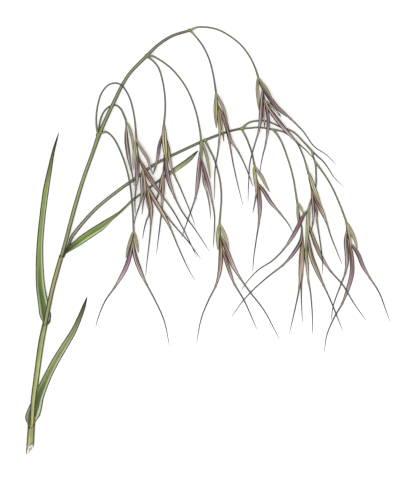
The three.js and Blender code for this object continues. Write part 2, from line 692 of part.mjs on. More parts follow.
// The knob at a spikelet's foot with its glumes, grown on all sides by grow
function glumes({ foot, rachilla, glumes: list }, grow = 0) {
  const start = new THREE.Vector3(...foot);
  const along = new THREE.Vector3(...rachilla[0]).sub(start).normalize();
  const rows = [-grow, KNOB_LENGTH + grow].map((length) => [
    ...start.clone().addScaledVector(along, length).toArray(),
    KNOB_WIDTH + 2 * grow,
  ]);
  const knob = stem(rows, BRANCH_SIDES, 1);
  return list.map((one) => glume(foot, one, grow)).reduce((all, one) => all.add(one), knob);
}

// One floret: its lemma, from a node of the rachilla, drawn out into a long awn
function floret(rachilla, { at, lemma, awn, z: [tipHeight, endHeight], width }) {
  const root = rachilla[at];
  const points = [root, ...lemma, ...awn];
  const lengths = lengthsAlong(points);
  const toTip = lengths[lemma.length];
  const whole = lengths.at(-1);
  const heights = [[0, root[2]], [toTip, tipHeight], [whole, endHeight]];
  const route = points.map(([x, y], i) => [x, y, readOff(heights, lengths[i])]);
  const tipShare = toTip / whole;
  const awnSteps = whole - toTip > LONG_AWN ? LONG_AWN_STEPS : SHORT_AWN_STEPS;
  const shares = [
    ...evenShares(LEMMA_STEPS).map((share) => share * tipShare),
    ...evenShares(awnSteps).slice(1).map((share) => tipShare + share * (1 - tipShare)),
  ];
  const fullWidth = width ?? LEMMA_WIDTH;
  const sizeAt = (share) => {
    if (share > tipShare) return [AWN_WIDTH, AWN_WIDTH];
    const ofWidth = readOff(LEMMA_OUTLINE, share / tipShare);
    const ofThickness = Math.min(1, ofWidth * LEMMA_FULLNESS);
    return [
      Math.max(AWN_WIDTH, fullWidth * ofWidth),
      Math.max(AWN_WIDTH, LEMMA_THICKNESS * ofThickness),
    ];
  };
  return spike(route, shares, sizeAt);
}

// The rachilla with its florets, clear of the glumes
function florets(spikelet) {
  const { foot, rachilla, florets: list } = spikelet;
  const axis = stem([foot, ...rachilla].map((row) => [...row, RACHILLA_WIDTH]), 4, 1);
  const all = list.map((one) => floret(rachilla, one)).reduce((whole, one) => whole.add(one), axis);
  return largestPiece(all.subtract(glumes(spikelet, GLUME_GAP)));
}

// A box as a solid: leaned about its own middle, then turned about the vertical
const CORNER_DIGITS = 4; // corners that agree to this many digits are one
function boxSolid(size, centre, lean = 0, turn = 0) {
  const box = new THREE.BoxGeometry(...size).rotateY(lean).rotateZ(turn).translate(...centre);
  const corners = [];
  const seen = new Map();
  const { array } = box.getAttribute("position");
  const indexOf = (i) => {
    const corner = new THREE.Vector3().fromArray(array, i * 3);
    const key = corner.toArray().map((value) => value.toFixed(CORNER_DIGITS)).join(" ");
    if (!seen.has(key)) {
      seen.set(key, corners.length);
      corners.push(corner);
    }
    return seen.get(key);
  };
  return solidOf(corners, Array.from(box.index.array, indexOf));
}
const GROUND = { across: 400, depth: 20 };
const BELOW_SURFACE = boxSolid([GROUND.across, GROUND.across, GROUND.depth], [0, 0, -GROUND.depth / 2]);

// The slanted cut through the foot of the culm: a point on it and the way it faces, also upwards
const CUT = {
  at: [-125.3, -146.4, 2.3],
  outward: THREE.MathUtils.degToRad(-45),
  upward: THREE.MathUtils.degToRad(30),
  size: 20,
};

function largestPiece(solid) {
  return solid.decompose().reduce((best, one) => (one.volume() > best.volume() ? one : best));
}

// The stem with its sheaths and panicle branches, with a slanted cut end
function floweringStem() {
  const facing = new THREE.Vector3(
    Math.cos(CUT.outward) * Math.cos(CUT.upward),
    Math.sin(CUT.outward) * Math.cos(CUT.upward),
    Math.sin(CUT.upward),
  );
  const middle = new THREE.Vector3(...CUT.at).addScaledVector(facing, CUT.size / 2);
  const offCut = boxSolid([CUT.size, CUT.size, CUT.size], middle, -CUT.upward, CUT.outward);
  const axis = stem(CULM, STEM_SIDES, 2).subtract(offCut).add(stem(RACHIS, STEM_SIDES, 3));
  return PANICLE_BRANCHES.map((points) => branch(points)).reduce((whole, one) => whole.add(one), axis);
}

function sideShoot() {
  const axis = stem(SIDE_SHOOT, STEM_SIDES, 2);
  const branches = SIDE_SHOOT_BRANCHES.map((points, index) =>
    branch(points, index === BARE_BRANCHLET ? BARE_TIP_WIDTH : BRANCH_WIDTH),
  );
  return branches.reduce((whole, one) => whole.add(one), axis);
}

const paint = {
  stem: { color: "#8f9a5c", roughness: 0.6, metalness: 0 },
  leaf: { color: "#6f8f46", roughness: 0.55, metalness: 0 },
  glume: { color: "#a9a562", roughness: 0.65, metalness: 0 },
  floret: { color: "#8a6376", roughness: 0.65, metalness: 0 },
};

// A named mesh of a solid, with what would lie under the surface cut flat
function meshOf(name, solid, finish) {
  const { numProp, vertProperties, triVerts } = solid.subtract(BELOW_SURFACE).getMesh();
  const positions = new Float32Array((vertProperties.length / numProp) * 3);
  for (let i = 0; i * 3 < positions.length; i++) {
    positions.set(vertProperties.subarray(i * numProp, i * numProp + 3), i * 3);
  }
  const geometry = new THREE.BufferGeometry();
  geometry.setAttribute("position", new THREE.BufferAttribute(positions, 3));
  geometry.setIndex(new THREE.BufferAttribute(triVerts, 1));
  geometry.computeVertexNormals();
  const mesh = new THREE.Mesh(geometry, new THREE.MeshStandardMaterial(paint[finish]));
  mesh.name = name;
  return mesh;
}

const part = new THREE.Group();
part.add(meshOf("flowering_stem", floweringStem(), "stem"));
part.add(meshOf("side_shoot", sideShoot(), "stem"));
for (const [name, rows] of Object.entries(BLADES)) part.add(meshOf(name, blade(rows), "leaf"));
SPIKELETS.forEach((spikelet, index) => {
  const name = "spikelet_" + String(index + 1).padStart(2, "0");
  part.add(meshOf(name + "_glumes", glumes(spikelet), "glume"));
  part.add(meshOf(name + "_florets", florets(spikelet), "floret"));
});

export default part;
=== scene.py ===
"""A cut, leafy flowering stem of ripgut brome, lying on a pale floor: its finished looks.

Lengths in the tables are millimetres, in the frame of the part: +Y runs from the cut end towards
the top of the panicle, and the floor is z = 0.
"""

import math

import bpy
import numpy as np
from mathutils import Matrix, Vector


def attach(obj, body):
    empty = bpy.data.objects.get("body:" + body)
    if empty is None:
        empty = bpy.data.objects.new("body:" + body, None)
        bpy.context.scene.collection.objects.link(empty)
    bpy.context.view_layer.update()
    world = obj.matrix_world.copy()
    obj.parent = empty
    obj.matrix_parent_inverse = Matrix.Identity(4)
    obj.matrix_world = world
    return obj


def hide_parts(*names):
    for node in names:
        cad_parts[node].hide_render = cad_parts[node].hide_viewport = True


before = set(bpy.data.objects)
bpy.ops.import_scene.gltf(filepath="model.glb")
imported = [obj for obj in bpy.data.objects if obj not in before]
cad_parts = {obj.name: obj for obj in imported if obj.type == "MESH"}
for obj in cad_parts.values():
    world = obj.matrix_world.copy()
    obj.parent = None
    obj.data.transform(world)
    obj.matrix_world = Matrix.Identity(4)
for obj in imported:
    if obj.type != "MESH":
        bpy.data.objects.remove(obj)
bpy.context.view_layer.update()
MM = 0.001

# The camera looks straight down through a very long lens, so that high and low parts keep their places
PICTURE = (417, 480)
MM_PER_PIXEL = 0.7
LENS = 1000
SENSOR = 36
FOCUS_HEIGHT = 8
CENTRE = (0, 0.18)
VIEW_DEPTH = 100  # metres

camera = bpy.data.objects.new("camera", bpy.data.cameras.new("camera"))
camera.data.lens = LENS
camera.data.sensor_width = SENSOR
camera.data.clip_end = VIEW_DEPTH
reach = MM_PER_PIXEL * PICTURE[1] * LENS / SENSOR
camera.location = Vector((CENTRE[0], CENTRE[1], reach + FOCUS_HEIGHT)) * MM
bpy.context.scene.collection.objects.link(camera)
bpy.context.scene.camera = camera

# The culm, from the cut end to the first whorl of branches: x, y, z and width.
# The steps in width are the collars, where a leaf sheath ends.
CULM = [
    (-125.6, -154, 2.2, 5.4), (-124.7, -141, 2.5, 5.4), (-124, -130.2, 3.3, 5), (-123.8, -129.4, 3.3, 3.3),
    (-122.7, -112, 3.8, 3.6), (-120.8, -98, 4, 4.1), (-117, -71, 4.4, 4.3), (-114.5, -58.8, 4.7, 3.9),
    (-114.2, -57.6, 4.7, 3.1), (-109.5, -35, 5.4, 3.3), (-105.8, -21, 5.8, 3.5), (-103.6, -13.4, 6.1, 3.3),
    (-103.2, -12.2, 6.1, 2.7), (-99.8, 0, 6.5, 2.8), (-94.2, 21, 7.4, 3), (-87.9, 42, 8.4, 2.8),
    (-80.4, 63, 9.5, 2.7), (-76.4, 74.9, 10, 3.2),
]

# The rachis, on from there to the topmost node
RACHIS = [
    (-77.2, 72, 9.9, 2.9), (-72.8, 82.6, 10.2, 2.7), (-66.9, 95.2, 10.7, 2.6), (-60.6, 108.1, 11.4, 2.4),
    (-55, 116.9, 12, 2.3), (-43.1, 129.1, 13, 2.4), (-35.4, 136.5, 13.6, 2.1), (-25.6, 142.8, 14.3, 2),
    (-12.3, 147, 15, 1.9),
]

# Branches of the panicle: x, y and z from the rachis to the foot of a spikelet
PANICLE_BRANCHES = [
    [
        (-13.5, 146.6, 15), (-8.1, 148.9, 16), (-2.5, 149.1, 17.5), (4.5, 147.9, 19), (11.5, 144.9, 20.3),
        (22, 137.2, 21), (29, 128.1, 20), (33.2, 119, 18.3), (34.6, 114.5, 17),
    ],
    [
        (-12.8, 146.8, 15), (-9.5, 143.2, 14.5), (-3.9, 135.8, 13.6), (0.7, 126, 12.6), (3.5, 114.8, 11.6),
        (5.2, 103.8, 11),
    ],
    [
        (-43.6, 128.7, 13.2), (-39.6, 128.9, 14.5), (-35.4, 127, 15.6), (-25.6, 119.7, 17),
        (-15.8, 107.1, 17), (-9.5, 92.4, 15), (-6, 77, 12.8), (-5.3, 71.2, 12),
    ],
    [
        (-43.4, 129, 12.8), (-38.9, 125.6, 12), (-35.4, 121.4, 11.4), (-33.3, 116.2, 11),
        (-30.8, 103.6, 10.3), (-30.3, 92, 9.8), (-31.2, 81.6, 9.5),
    ],
    [
        (-77.2, 73.8, 10.4), (-78.4, 80.5, 12.6), (-78.4, 88, 14.6), (-77.2, 95.6, 16),
        (-74.6, 103.2, 16.8), (-70.5, 108.2, 17), (-66, 109.9, 16.9), (-61.3, 108.8, 16.5),
        (-55.7, 100.8, 15.4), (-52.2, 88.2, 13.8), (-50.4, 71.2, 12),
    ],
    [
        (-77, 73.8, 9.4), (-76, 82.6, 7.6), (-74.2, 88.2, 7), (-71.8, 91.7, 6.8), (-68.3, 94.1, 6.8),
        (-64.8, 94.5, 7), (-61.3, 91.7, 7.4), (-57.8, 83.9, 8),
    ],
    [
        (-76.4, 74.6, 10.2), (-71.8, 75.7, 10.6), (-69, 74.2, 10.6), (-65.5, 70, 10.4), (-59.2, 56, 9.8),
        (-55.3, 41.3, 9.2), (-53.2, 23, 8.4), (-52.4, 7, 7.5),
    ],
]

# The side shoot out of the axil of the top leaf, with its two nodes: x, y, z and width
SIDE_SHOOT = [
    (-99.5, -6.6, 4.8, 1.2), (-97.4, -2.1, 5, 2), (-96, 1.8, 4.8, 2.4), (-92.9, 6.3, 4.4, 2.5),
    (-79.1, 21.8, 4.6, 2.4), (-61.7, 35.9, 4.5, 2.2), (-51.3, 43.1, 4.3, 2.1), (-37.5, 53.2, 4.2, 2),
    (-20, 62, 4.5, 1.9), (-2.5, 70, 5.1, 1.9), (13.6, 76, 5.8, 1.6), (24.1, 78.4, 6.4, 1.7),
]
SIDE_SHOOT_BRANCHES = [
    [
        (-2.5, 70, 5.1), (1, 63, 5.1), (3.1, 58.8, 5.1), (5.2, 53.2, 5.2), (8, 42, 5.4), (9, 30, 5.7),
        (7.7, 12.2, 6),
    ],
    [
        (23.2, 78.2, 6.2), (24.8, 74.9, 6.2), (26.9, 70.7, 6), (29, 65.1, 5.6), (30.8, 59.5, 5),
        (32.1, 52.8, 4.5),
    ],
    [(23, 78.2, 6.4), (29, 78.5, 6.5), (34.6, 79, 6.5), (39.5, 78.5, 6.5), (45.8, 77.4, 6.4)],
    [
        (45.4, 77.4, 6.4), (49.3, 72.1, 6.1), (52.1, 66.5, 5.8), (54.9, 58.8, 5.4), (57.4, 51.1, 5),
        (59.5, 42.7, 4.5), (62, 27.3, 3.6),
    ],
    [
        (45.2, 77.5, 6.5), (52.1, 76, 7.2), (57, 73.2, 7.8), (61.2, 69.3, 8.4), (66.1, 59.5, 9.2),
        (69.5, 48.6, 9.5),
    ],
    [
        (23.2, 78.2, 6.6), (27.6, 81.9, 7.3), (31.8, 83.3, 7.7), (40.9, 83.3, 8), (50, 79.5, 8),
        (59.1, 76, 7.9), (66.8, 68.6, 7.6), (73.2, 61.6, 7.2),
    ],
    [
        (72.2, 62.6, 7.2), (76.6, 58.5, 6), (80.8, 54.6, 4.6), (84.3, 49.7, 3), (88.5, 43.4, 1.4),
        (96.2, 36.4, 0.5),
    ],
    [(72.6, 62.2, 7.1), (73.4, 58, 7), (74.7, 54.2, 7), (75.3, 46, 7), (75.1, 38, 7), (71.2, 26.2, 7)],
    [(74.4, 55, 7), (78, 50.4, 6.8), (85, 39.9, 6.4), (91.3, 26.6, 5.9), (96.2, 13.7, 5.5)],
]

# Leaf blades: x, y, z of the midrib's upper face, width, depth of the trough and roll in degrees
BLADES = {
    "leaf_blade_1": [
        (-123.9, -128.4, 1.3, 5, 1, 0), (-123.3, -123, 1.4, 8.8, 1, 0), (-121.1, -116.6, 1.3, 8.5, 1, 0),
        (-119.1, -110, 1, 7.4, 0.6, 0), (-115.7, -102, 0.9, 6.2, 0.5, 0), (-112, -93.9, 0.8, 5.5, 0.35, 0),
        (-106.9, -84.1, 0.8, 5.3, 0.3, 0), (-100.8, -74, 0.85, 4.9, 0.4, 0), (-94.3, -63.1, 1.2, 4, 0.5, 0),
        (-88.6, -50, 1.8, 2.8, 0.5, 0), (-85.1, -39.9, 2, 1, 0.2, 0),
    ],
    "leaf_blade_2": [
        (-114.3, -57.1, 2.5, 4.2, 0.8, 0), (-114.9, -50.4, 2, 7.8, 1, 0), (-116.2, -42, 1.9, 7, 1.2, 0),
        (-117.7, -31.5, 2, 6.3, 1.2, 0), (-118.3, -17.5, 1.4, 5.5, 0.8, 0), (-118, -2, 0.9, 4.6, 0.5, 0),
        (-116.6, 14, 0.8, 4.3, 0.4, 0), (-113.9, 35, 0.8, 4.3, 0.4, 0), (-111.6, 47.6, 0.9, 3.4, 0.4, 0),
        (-108.7, 62, 1.2, 2, 0.3, 0), (-104.9, 75.4, 1.6, 1, 0.1, 0),
    ],
    "leaf_blade_3": [
        (-102.9, -11.4, 4.1, 2.8, 0.9, 0), (-99.9, -8.2, 2.7, 3.9, 1, 0), (-94.9, -4.4, 2, 4.8, 1.1, 0),
        (-89, 0.1, 1.8, 5.7, 1.3, 0), (-82, 5, 1.8, 5.7, 1.2, 0), (-74.8, 9.4, 2, 5.4, 1, 20),
        (-68.2, 14.4, 2.5, 5, 0.8, 55), (-61.6, 20, 2.8, 4.8, 0.6, 80), (-54, 27.4, 2.9, 4.6, 0.5, 90),
        (-41, 37.1, 2.8, 4.4, 0.5, 90), (-30.5, 44.5, 2.5, 4.2, 0.5, 75), (-25.4, 47.6, 2.2, 3.8, 0.5, 45),
        (-19.8, 51.8, 1.5, 3.5, 0.5, 15), (-13.5, 56.7, 1, 2.9, 0.4, 0), (-7.4, 62.7, 0.9, 1, 0.1, 0),
    ],
}

# Spikelets. foot: where the branch ends. rachilla: the nodes that the florets grow from.
# A glume is its course from the foot, the drop to its tip, and its width.
# A floret is the number of its node, counted from 0, the course of its lemma, the course of its awn,
# z at the lemma's tip and at the awn's, and last the lemma's width where it is narrower than most.
SPIKELETS = [
    dict(
        foot=(-57.8, 83.3, 8), rachilla=[(-57.6, 79.1, 7.8)],
        glumes=[([(-55.7, 79.8), (-53.6, 72.1), (-52.5, 63), (-52.2, 58.1)], 1, 2)],
        florets=[
            (0, [(-57.4, 70), (-55.7, 57.4), (-54.3, 50.4)], [(-52.9, 43.4), (-51.8, 37.8)], (7, 6.8)),
        ],
    ),
    dict(
        foot=(-50.4, 70.7, 12),
        rachilla=[(-49.4, 61.6, 11.6), (-48, 56, 11.3), (-45.9, 50.4, 11), (-43.4, 39.2, 10.2)],
        glumes=[
            ([(-51.2, 68), (-51.9, 62), (-52.4, 54.6), (-52.3, 49)], 1.4, 2),
            ([(-49, 67.6), (-45.9, 62.3), (-42.7, 57), (-41, 51.8), (-38.9, 46.2)], 1.6, 2.2),
        ],
        florets=[
            (0, [(-49.8, 52.5), (-50.1, 43.4), (-50.8, 37.1)], [(-51.5, 28), (-51.2, 18.2)], (9.5, 8.2)),
            (1, [(-44.4, 49), (-37.4, 37.8), (-33.3, 32.2)],
             [(-25.6, 21.7), (-17.2, 7), (-8.1, -11.9)], (9.3, 4)),
            (2, [(-46.2, 42), (-46.2, 33.6), (-47.3, 28)],
             [(-49, 22.4), (-50.8, 16.8), (-52.2, 10.5)], (8.5, 5.6)),
            (3, [(-42, 30.8), (-40.3, 22.4), (-40.3, 12.6)],
             [(-41.3, 0), (-43.1, -15.4), (-44.1, -25.2)], (8.5, 6.8)),
            (3, [(-38.9, 30.1), (-34.7, 23.1), (-27.3, 9.8)],
             [(-21.4, -4.2), (-14.4, -19.6), (-9.5, -28)], (7.8, 3)),
            (3, [(-38.4, 30.8), (-32.2, 21)],
             [(-23.5, 9.8), (-14.4, -0.7), (-5.3, -13.3)], (8.2, 3.6), 1.6),
            (2, [(-44.6, 40), (-44.5, 32)], [(-45.6, 26.6), (-46.6, 17.5)], (9.2, 8), 1.6),
            (3, [(-42.8, 27), (-41.6, 18)], [(-43.1, 14.7), (-45.2, 7), (-46.3, 0.7)], (7.4, 6.2), 1.6),
        ],
    ),
    dict(
        foot=(-31.2, 81.1, 9.5), rachilla=[(-31.2, 76.3, 9.4), (-30.8, 63, 9.1), (-31.6, 47.6, 8.2)],
        glumes=[([(-31.1, 77.6), (-30.8, 70), (-29.8, 59.5), (-28.4, 53.9)], 1, 3.8)],
        florets=[
            (0, [(-34, 67.9), (-35.6, 58), (-37.2, 51.1)], [(-38, 48.4), (-38.9, 45.9)], (8, 7.7), 2.4),
            (0, [(-28, 63), (-27, 56), (-25.3, 49)],
             [(-20, 37.1), (-14.4, 23.8), (-9.1, 9.8)], (8, 4.6), 2.4),
            (1, [(-29.5, 50.4), (-27.6, 41), (-23.9, 30.8)],
             [(-18.6, 20.3), (-9.5, 7.7), (0.6, -7.7)], (7.5, 3)),
            (2, [(-33, 42), (-33.9, 36), (-35.4, 31.5)], [(-36, 29), (-36.8, 26.6)], (7, 6.6), 2.4),
            (2, [(-31.9, 35), (-32.4, 29), (-32.6, 22.4)], [(-34, 10.5), (-36.5, -9.8)], (6.6, 4.4), 2.4),
        ],
    ),
    dict(
        foot=(-5.3, 70.7, 12), rachilla=[(-5.3, 64.4, 11.6), (-4.6, 56, 11.2), (-3.9, 47.6, 10.7)],
        glumes=[
            ([(-5.3, 69), (-4.9, 63), (-5.1, 55.5)], 0.8, 2.4),
            ([(-4.4, 68.6), (-1.8, 60.9), (0.4, 50), (1.4, 43)], 1.4, 2),
        ],
        florets=[
            (0, [(-6.4, 52), (-7.4, 42), (-9.1, 30.1)],
             [(-11.6, 22.4), (-15.1, 12.6), (-18.9, 1.4)], (9, 7.2)),
            (1, [(-1.8, 45.5), (0, 39.2), (2.4, 28)], [(4.2, 17.5), (4.2, 9.8), (3.2, -5.6)], (9, 6), 2.6),
            (2, [(-2.8, 39.2), (-1.1, 33.6)], [(0.7, 24.5), (1.6, 14.7)], (9.5, 8), 2),
        ],
    ),
    dict(
        foot=(5.2, 103.3, 11), rachilla=[(5.9, 98, 10.9), (7.3, 93.1, 10.7), (9.4, 86.8, 10.4)],
        glumes=[
            ([(5.3, 100.1), (5, 92.4), (5.1, 85.4), (5.6, 78.4)], 1.2, 2.8),
            ([(7.2, 99.4), (10.5, 92.4), (12.2, 86.8), (13.5, 81.9)], 1, 2),
        ],
        florets=[
            (0, [(7.3, 85.4), (8, 78.4), (7.5, 70)], [(6.6, 62), (4.6, 49), (4.2, 28.7)], (9, 7.8), 2.4),
            (1, [(9.4, 80.5), (10.1, 74.2)], [(10.5, 71.4), (10.8, 68.6)], (9.2, 9), 1.6),
            (1, [(10.8, 85.4), (12.9, 79.1), (14.7, 68.6)],
             [(16.8, 56), (19.6, 42.7), (24.1, 24.5)], (8.8, 6)),
            (2, [(12.4, 79.8), (16, 69.4), (20.6, 62.3)], [(25.5, 52.5), (31.3, 37.5)], (8.8, 7.6), 2.2),
        ],
    ),
    dict(
        foot=(34.7, 114, 17), rachilla=[(36, 109.2, 16.7), (37.8, 105, 16.3), (39.5, 98, 15.7)],
        glumes=[
            ([(34.3, 111.6), (34.3, 105), (34.8, 96.6), (35.3, 91)], 1.6, 2.4),
            ([(37, 110.4), (40.9, 105), (43.4, 100.8), (45.1, 98)], 1, 2.2),
        ],
        florets=[
            (0, [(40.9, 102.2), (47.9, 93.1), (57, 85.4)],
             [(66.1, 76.3), (73.8, 65.8), (82.9, 59.5), (89.9, 52.2)], (13.5, 9.6)),
            (2, [(44.4, 93.8), (49.3, 88.2)], [(50, 87.4), (50.7, 86.6)], (15, 14.8), 1.8),
            (1, [(37.4, 98), (36.6, 86), (35.3, 77)],
             [(32.2, 66.5), (29, 53.9), (28, 38.5), (27.6, 25.9)], (12.5, 9.2)),
            (2, [(38.9, 90), (39.2, 82)], [(39.2, 80.5), (39.2, 79)], (14, 13.6), 1.6),
            (2, [(41.8, 84), (40.2, 68.6)], [(37.4, 56.7), (35.7, 46.2)], (11.8, 9.8), 2.4),
            (2, [(42.3, 92.4), (49.3, 82.6), (61.2, 69.3)], [(68.2, 63), (74.5, 56)], (12, 10.5)),
        ],
    ),
    dict(
        foot=(32.3, 52.3, 4.5), rachilla=[(33.2, 45.5, 4.2), (34.6, 39.9, 3.9)],
        glumes=[
            ([(31.9, 50), (32.5, 45), (33.2, 38.5), (33.9, 32.9)], 0.8, 2.4),
            ([(34, 49.2), (37.4, 44.1), (40.2, 38.5), (43, 33.6)], 0.8, 2.2),
        ],
        florets=[
            (1, [(35.3, 32.9), (35.9, 22), (35.3, 12.6)],
             [(33.6, 1.4), (31.8, -11.2), (30.9, -21.7)], (2.2, 0.4)),
            (1, [(38.8, 34.3), (43.4, 26.8), (49.3, 19.9)], [(55.6, 11.9), (59.1, 5.6)], (2.5, 1.5), 2.8),
            (0, [(33.4, 37), (33.2, 30.8)], [(31.8, 23.1), (30.9, 18.9)], (3.2, 2.4), 1.6),
        ],
    ),
    dict(
        foot=(62.1, 26.8, 3.6), rachilla=[(63.4, 18.9, 2.8), (65.4, 8.4, 2.1), (66.1, 0, 1.8)],
        glumes=[
            ([(62.4, 24.4), (62.7, 17.5), (63.2, 9.8)], 0.8, 1.9),
            ([(63.4, 24.9), (65.1, 21.7), (66.8, 18.2)], 0.4, 1.7),
        ],
        florets=[
            (1, [(64.7, 0), (60, -8.4), (52.8, -16.8)],
             [(43, -24.5), (32.5, -33.6), (23.4, -43.4), (16.1, -53.9)], (1.5, 0.4), 2.6),
            (2, [(65.1, -8.4), (64.5, -21), (63.7, -32.2)], [(61.2, -45.5), (56.7, -65.1)], (1.4, 0)),
            (2, [(66.4, -8), (66.2, -15), (65.8, -22.4)],
             [(65.1, -31.5), (65.1, -42), (65.8, -57.4)], (1.9, 0.5), 2.2),
        ],
    ),
    dict(
        foot=(69.6, 48.1, 9.5), rachilla=[(70.7, 42, 9.2), (72.1, 35, 8.9), (74.5, 25.2, 8.6)],
        glumes=[([(71, 44.8), (73.1, 38.2), (75.4, 32.4), (77.4, 27.3), (79.1, 23.1)], 1, 3)],
        florets=[
            (1, [(74.5, 30.1), (77.4, 24.5), (82.3, 13.3)],
             [(85.7, 2.8), (90.7, -9.8), (93.5, -16.8)], (7.8, 6)),
            (1, [(73.1, 25.9), (73.6, 18.9), (73.1, 12.6)], [(72.6, 9.4), (72.1, 6.3)], (8.4, 8.2), 2.4),
            (2, [(75.8, 19.5), (75.9, 14)], [(78, 0), (79.8, -14), (79.8, -23.8)], (8.2, 7.2), 1.8),
        ],
    ),
    dict(
        foot=(71, 25.7, 7), rachilla=[(70.5, 21.5, 6.9), (69.6, 12.6, 6.4), (70, 1.4, 5.8)],
        glumes=[([(70.2, 21), (69.6, 12), (69.1, 3), (67.9, -7.7)], 1.6, 2.8)],
        florets=[
            (0, [(67.5, 18.6), (59.8, 4.2), (53.2, -5.6)],
             [(45.1, -14), (34.6, -21), (26.2, -30.1), (23.1, -35)], (4, 1.4), 2.8),
            (2, [(68.4, -8.4), (69.1, -18), (70, -28.7)],
             [(71.4, -36.4), (72.7, -52.5), (72.8, -65.8)], (4.2, 1), 2.4),
            (2, [(72.1, -11.2), (75.8, -21), (80.2, -30.8)],
             [(85.7, -42.7), (91.3, -56.7), (94.1, -63.7)], (4.8, 3.4)),
            (1, [(72.1, 4.9), (77.6, -9), (85, -21)],
             [(94.1, -31.5), (101.8, -44.1), (110.2, -56)], (5, 4), 2.8),
        ],
    ),
    dict(
        foot=(96.3, 13.2, 5.5), rachilla=[(96.9, 7, 5.2), (98.7, -1.4, 4.8)],
        glumes=[
            ([(97.8, 10.6), (100.2, 5.4), (102.7, -0.4), (104.3, -6.3)], 0.8, 2.4),
            ([(97.2, 10), (99, 2), (99.8, -6)], 0.8, 1.8),
        ],
        florets=[
            (0, [(96.2, 0), (97.1, -12), (95.9, -22.4)],
             [(92, -32.9), (87.5, -45.5), (85.9, -56)], (2.6, 1)),
            (1, [(100.3, -12), (100.3, -23.8), (94.1, -43.4)],
             [(87.8, -54.6), (82.9, -66.5), (81.1, -78.4)], (2, 0)),
            (1, [(104.4, -9.1), (108, -17.8), (112.7, -25.9)],
             [(119.4, -36.4), (124.3, -49), (127.1, -57)], (2.8, 0), 2.8),
        ],
    ),
    dict(
        foot=(-52.4, 6.4, 7.5), rachilla=[(-52.9, 0, 7)],
        glumes=[
            ([(-53.4, 4.2), (-55, -1.4), (-56.7, -7), (-57.8, -12.6)], 1, 2.2),
            ([(-51.6, 4.2), (-50.1, -2.1), (-48.9, -9.1)], 0.8, 2),
        ],
        florets=[
            (0, [(-55, -9.8), (-58, -19.5), (-65.5, -32.6)],
             [(-72.5, -42.7), (-77.4, -54.6), (-79.1, -60.9)], (3, 0.4)),
            (0, [(-51.3, -11.2), (-47.8, -21.4), (-43.8, -30.1)],
             [(-37.5, -42), (-31.2, -56), (-27.3, -74.2)], (3.2, 0)),
        ],
    ),
    dict(
        foot=(7.7, 11.8, 6), rachilla=[(8.4, 3.5, 5.6), (9.4, -5.6, 5.2)],
        glumes=[
            ([(7.2, 8.6), (6.6, 1.4), (6.6, -7)], 0.8, 2.6),
            ([(8.8, 9.6), (10.8, 4.9), (12.9, -0.7), (14.3, -7)], 0.9, 2.2),
        ],
        florets=[
            (0, [(8.6, -9.8), (7.9, -21), (5.2, -31.5)], [(0, -42), (-5, -54.6), (-8.4, -72.1)], (3, 0.4)),
            (1, [(11.6, -12), (15.4, -23.8), (17.8, -30.1)], [(24.8, -42), (33.9, -62.3)], (3.8, 0.9), 2.6),
            (0, [(12.2, -5.6), (16.3, -16.1), (21.7, -25.9)],
             [(29.7, -37.1), (38.8, -49), (49.7, -69.3)], (4.4, 0.6)),
        ],
    ),
]


# Materials

PLANT_IOR = 1.42  # of the wax on leaves and straw
# Real fibres are too fine to show. They are drawn coarser, as long soft streaks.
FIBRE_MM = 9  # the length of a streak of fibres along a stem or blade
FIBRES_PER_NERVE = 2.3
FIBRE_SHADES = (0.86, 1.1)
FIBRE_DETAIL = 3.0
CLOUD_SHADES = (0.9, 1.08)
CLOUD_DETAIL = 2.0
NOISE_RANGE = (0.3, 0.7)  # most values of a noise lie between these
NERVE_START = 0.55  # a nerve is drawn where the cosine across passes this
NERVE_RELIEF = 0.07
RELIEF_STRENGTH = 0.5
RIM_FADE = (1.4, 0.7)  # a rim sets in and is full at these shares of its width from the outline
FLANK_REACH = 0.35  # the share of its width over which it eases off at the very side
ROUGHNESS_SPREAD = 0.08
SHEEN_ROUGHNESS = 0.4
# The inputs of the two nodes that are used most
RANGE = ("Value", "From Min", "From Max", "To Min", "To Max")
MIX = ("Fac", "Color1", "Color2")


def linear(colour):
    """An sRGB hex colour as linear red, green, blue and a full alpha."""
    parts = [int(colour[i : i + 2], 16) / 255 for i in (1, 3, 5)]
    return (*(c / 12.92 if c <= 0.04045 else ((c + 0.055) / 1.055) ** 2.4 for c in parts), 1)


def add_node(tree, kind, inputs=(), **settings):
    """Adds a node with its settings, and gives each input its value or the output that feeds it."""
    node = tree.nodes.new("ShaderNode" + kind)
    for name, value in settings.items():
        setattr(node, name, value)
    for key, value in dict(inputs).items():
        if isinstance(value, bpy.types.NodeSocket):
            tree.links.new(value, node.inputs[key])
        else:
            node.inputs[key].default_value = value
    return node


def blank_material(name):
    """A new material, and its node tree with nothing in it."""
    material = bpy.data.materials.new(name)
    material.use_nodes = True
    material.node_tree.nodes.clear()
    return material, material.node_tree


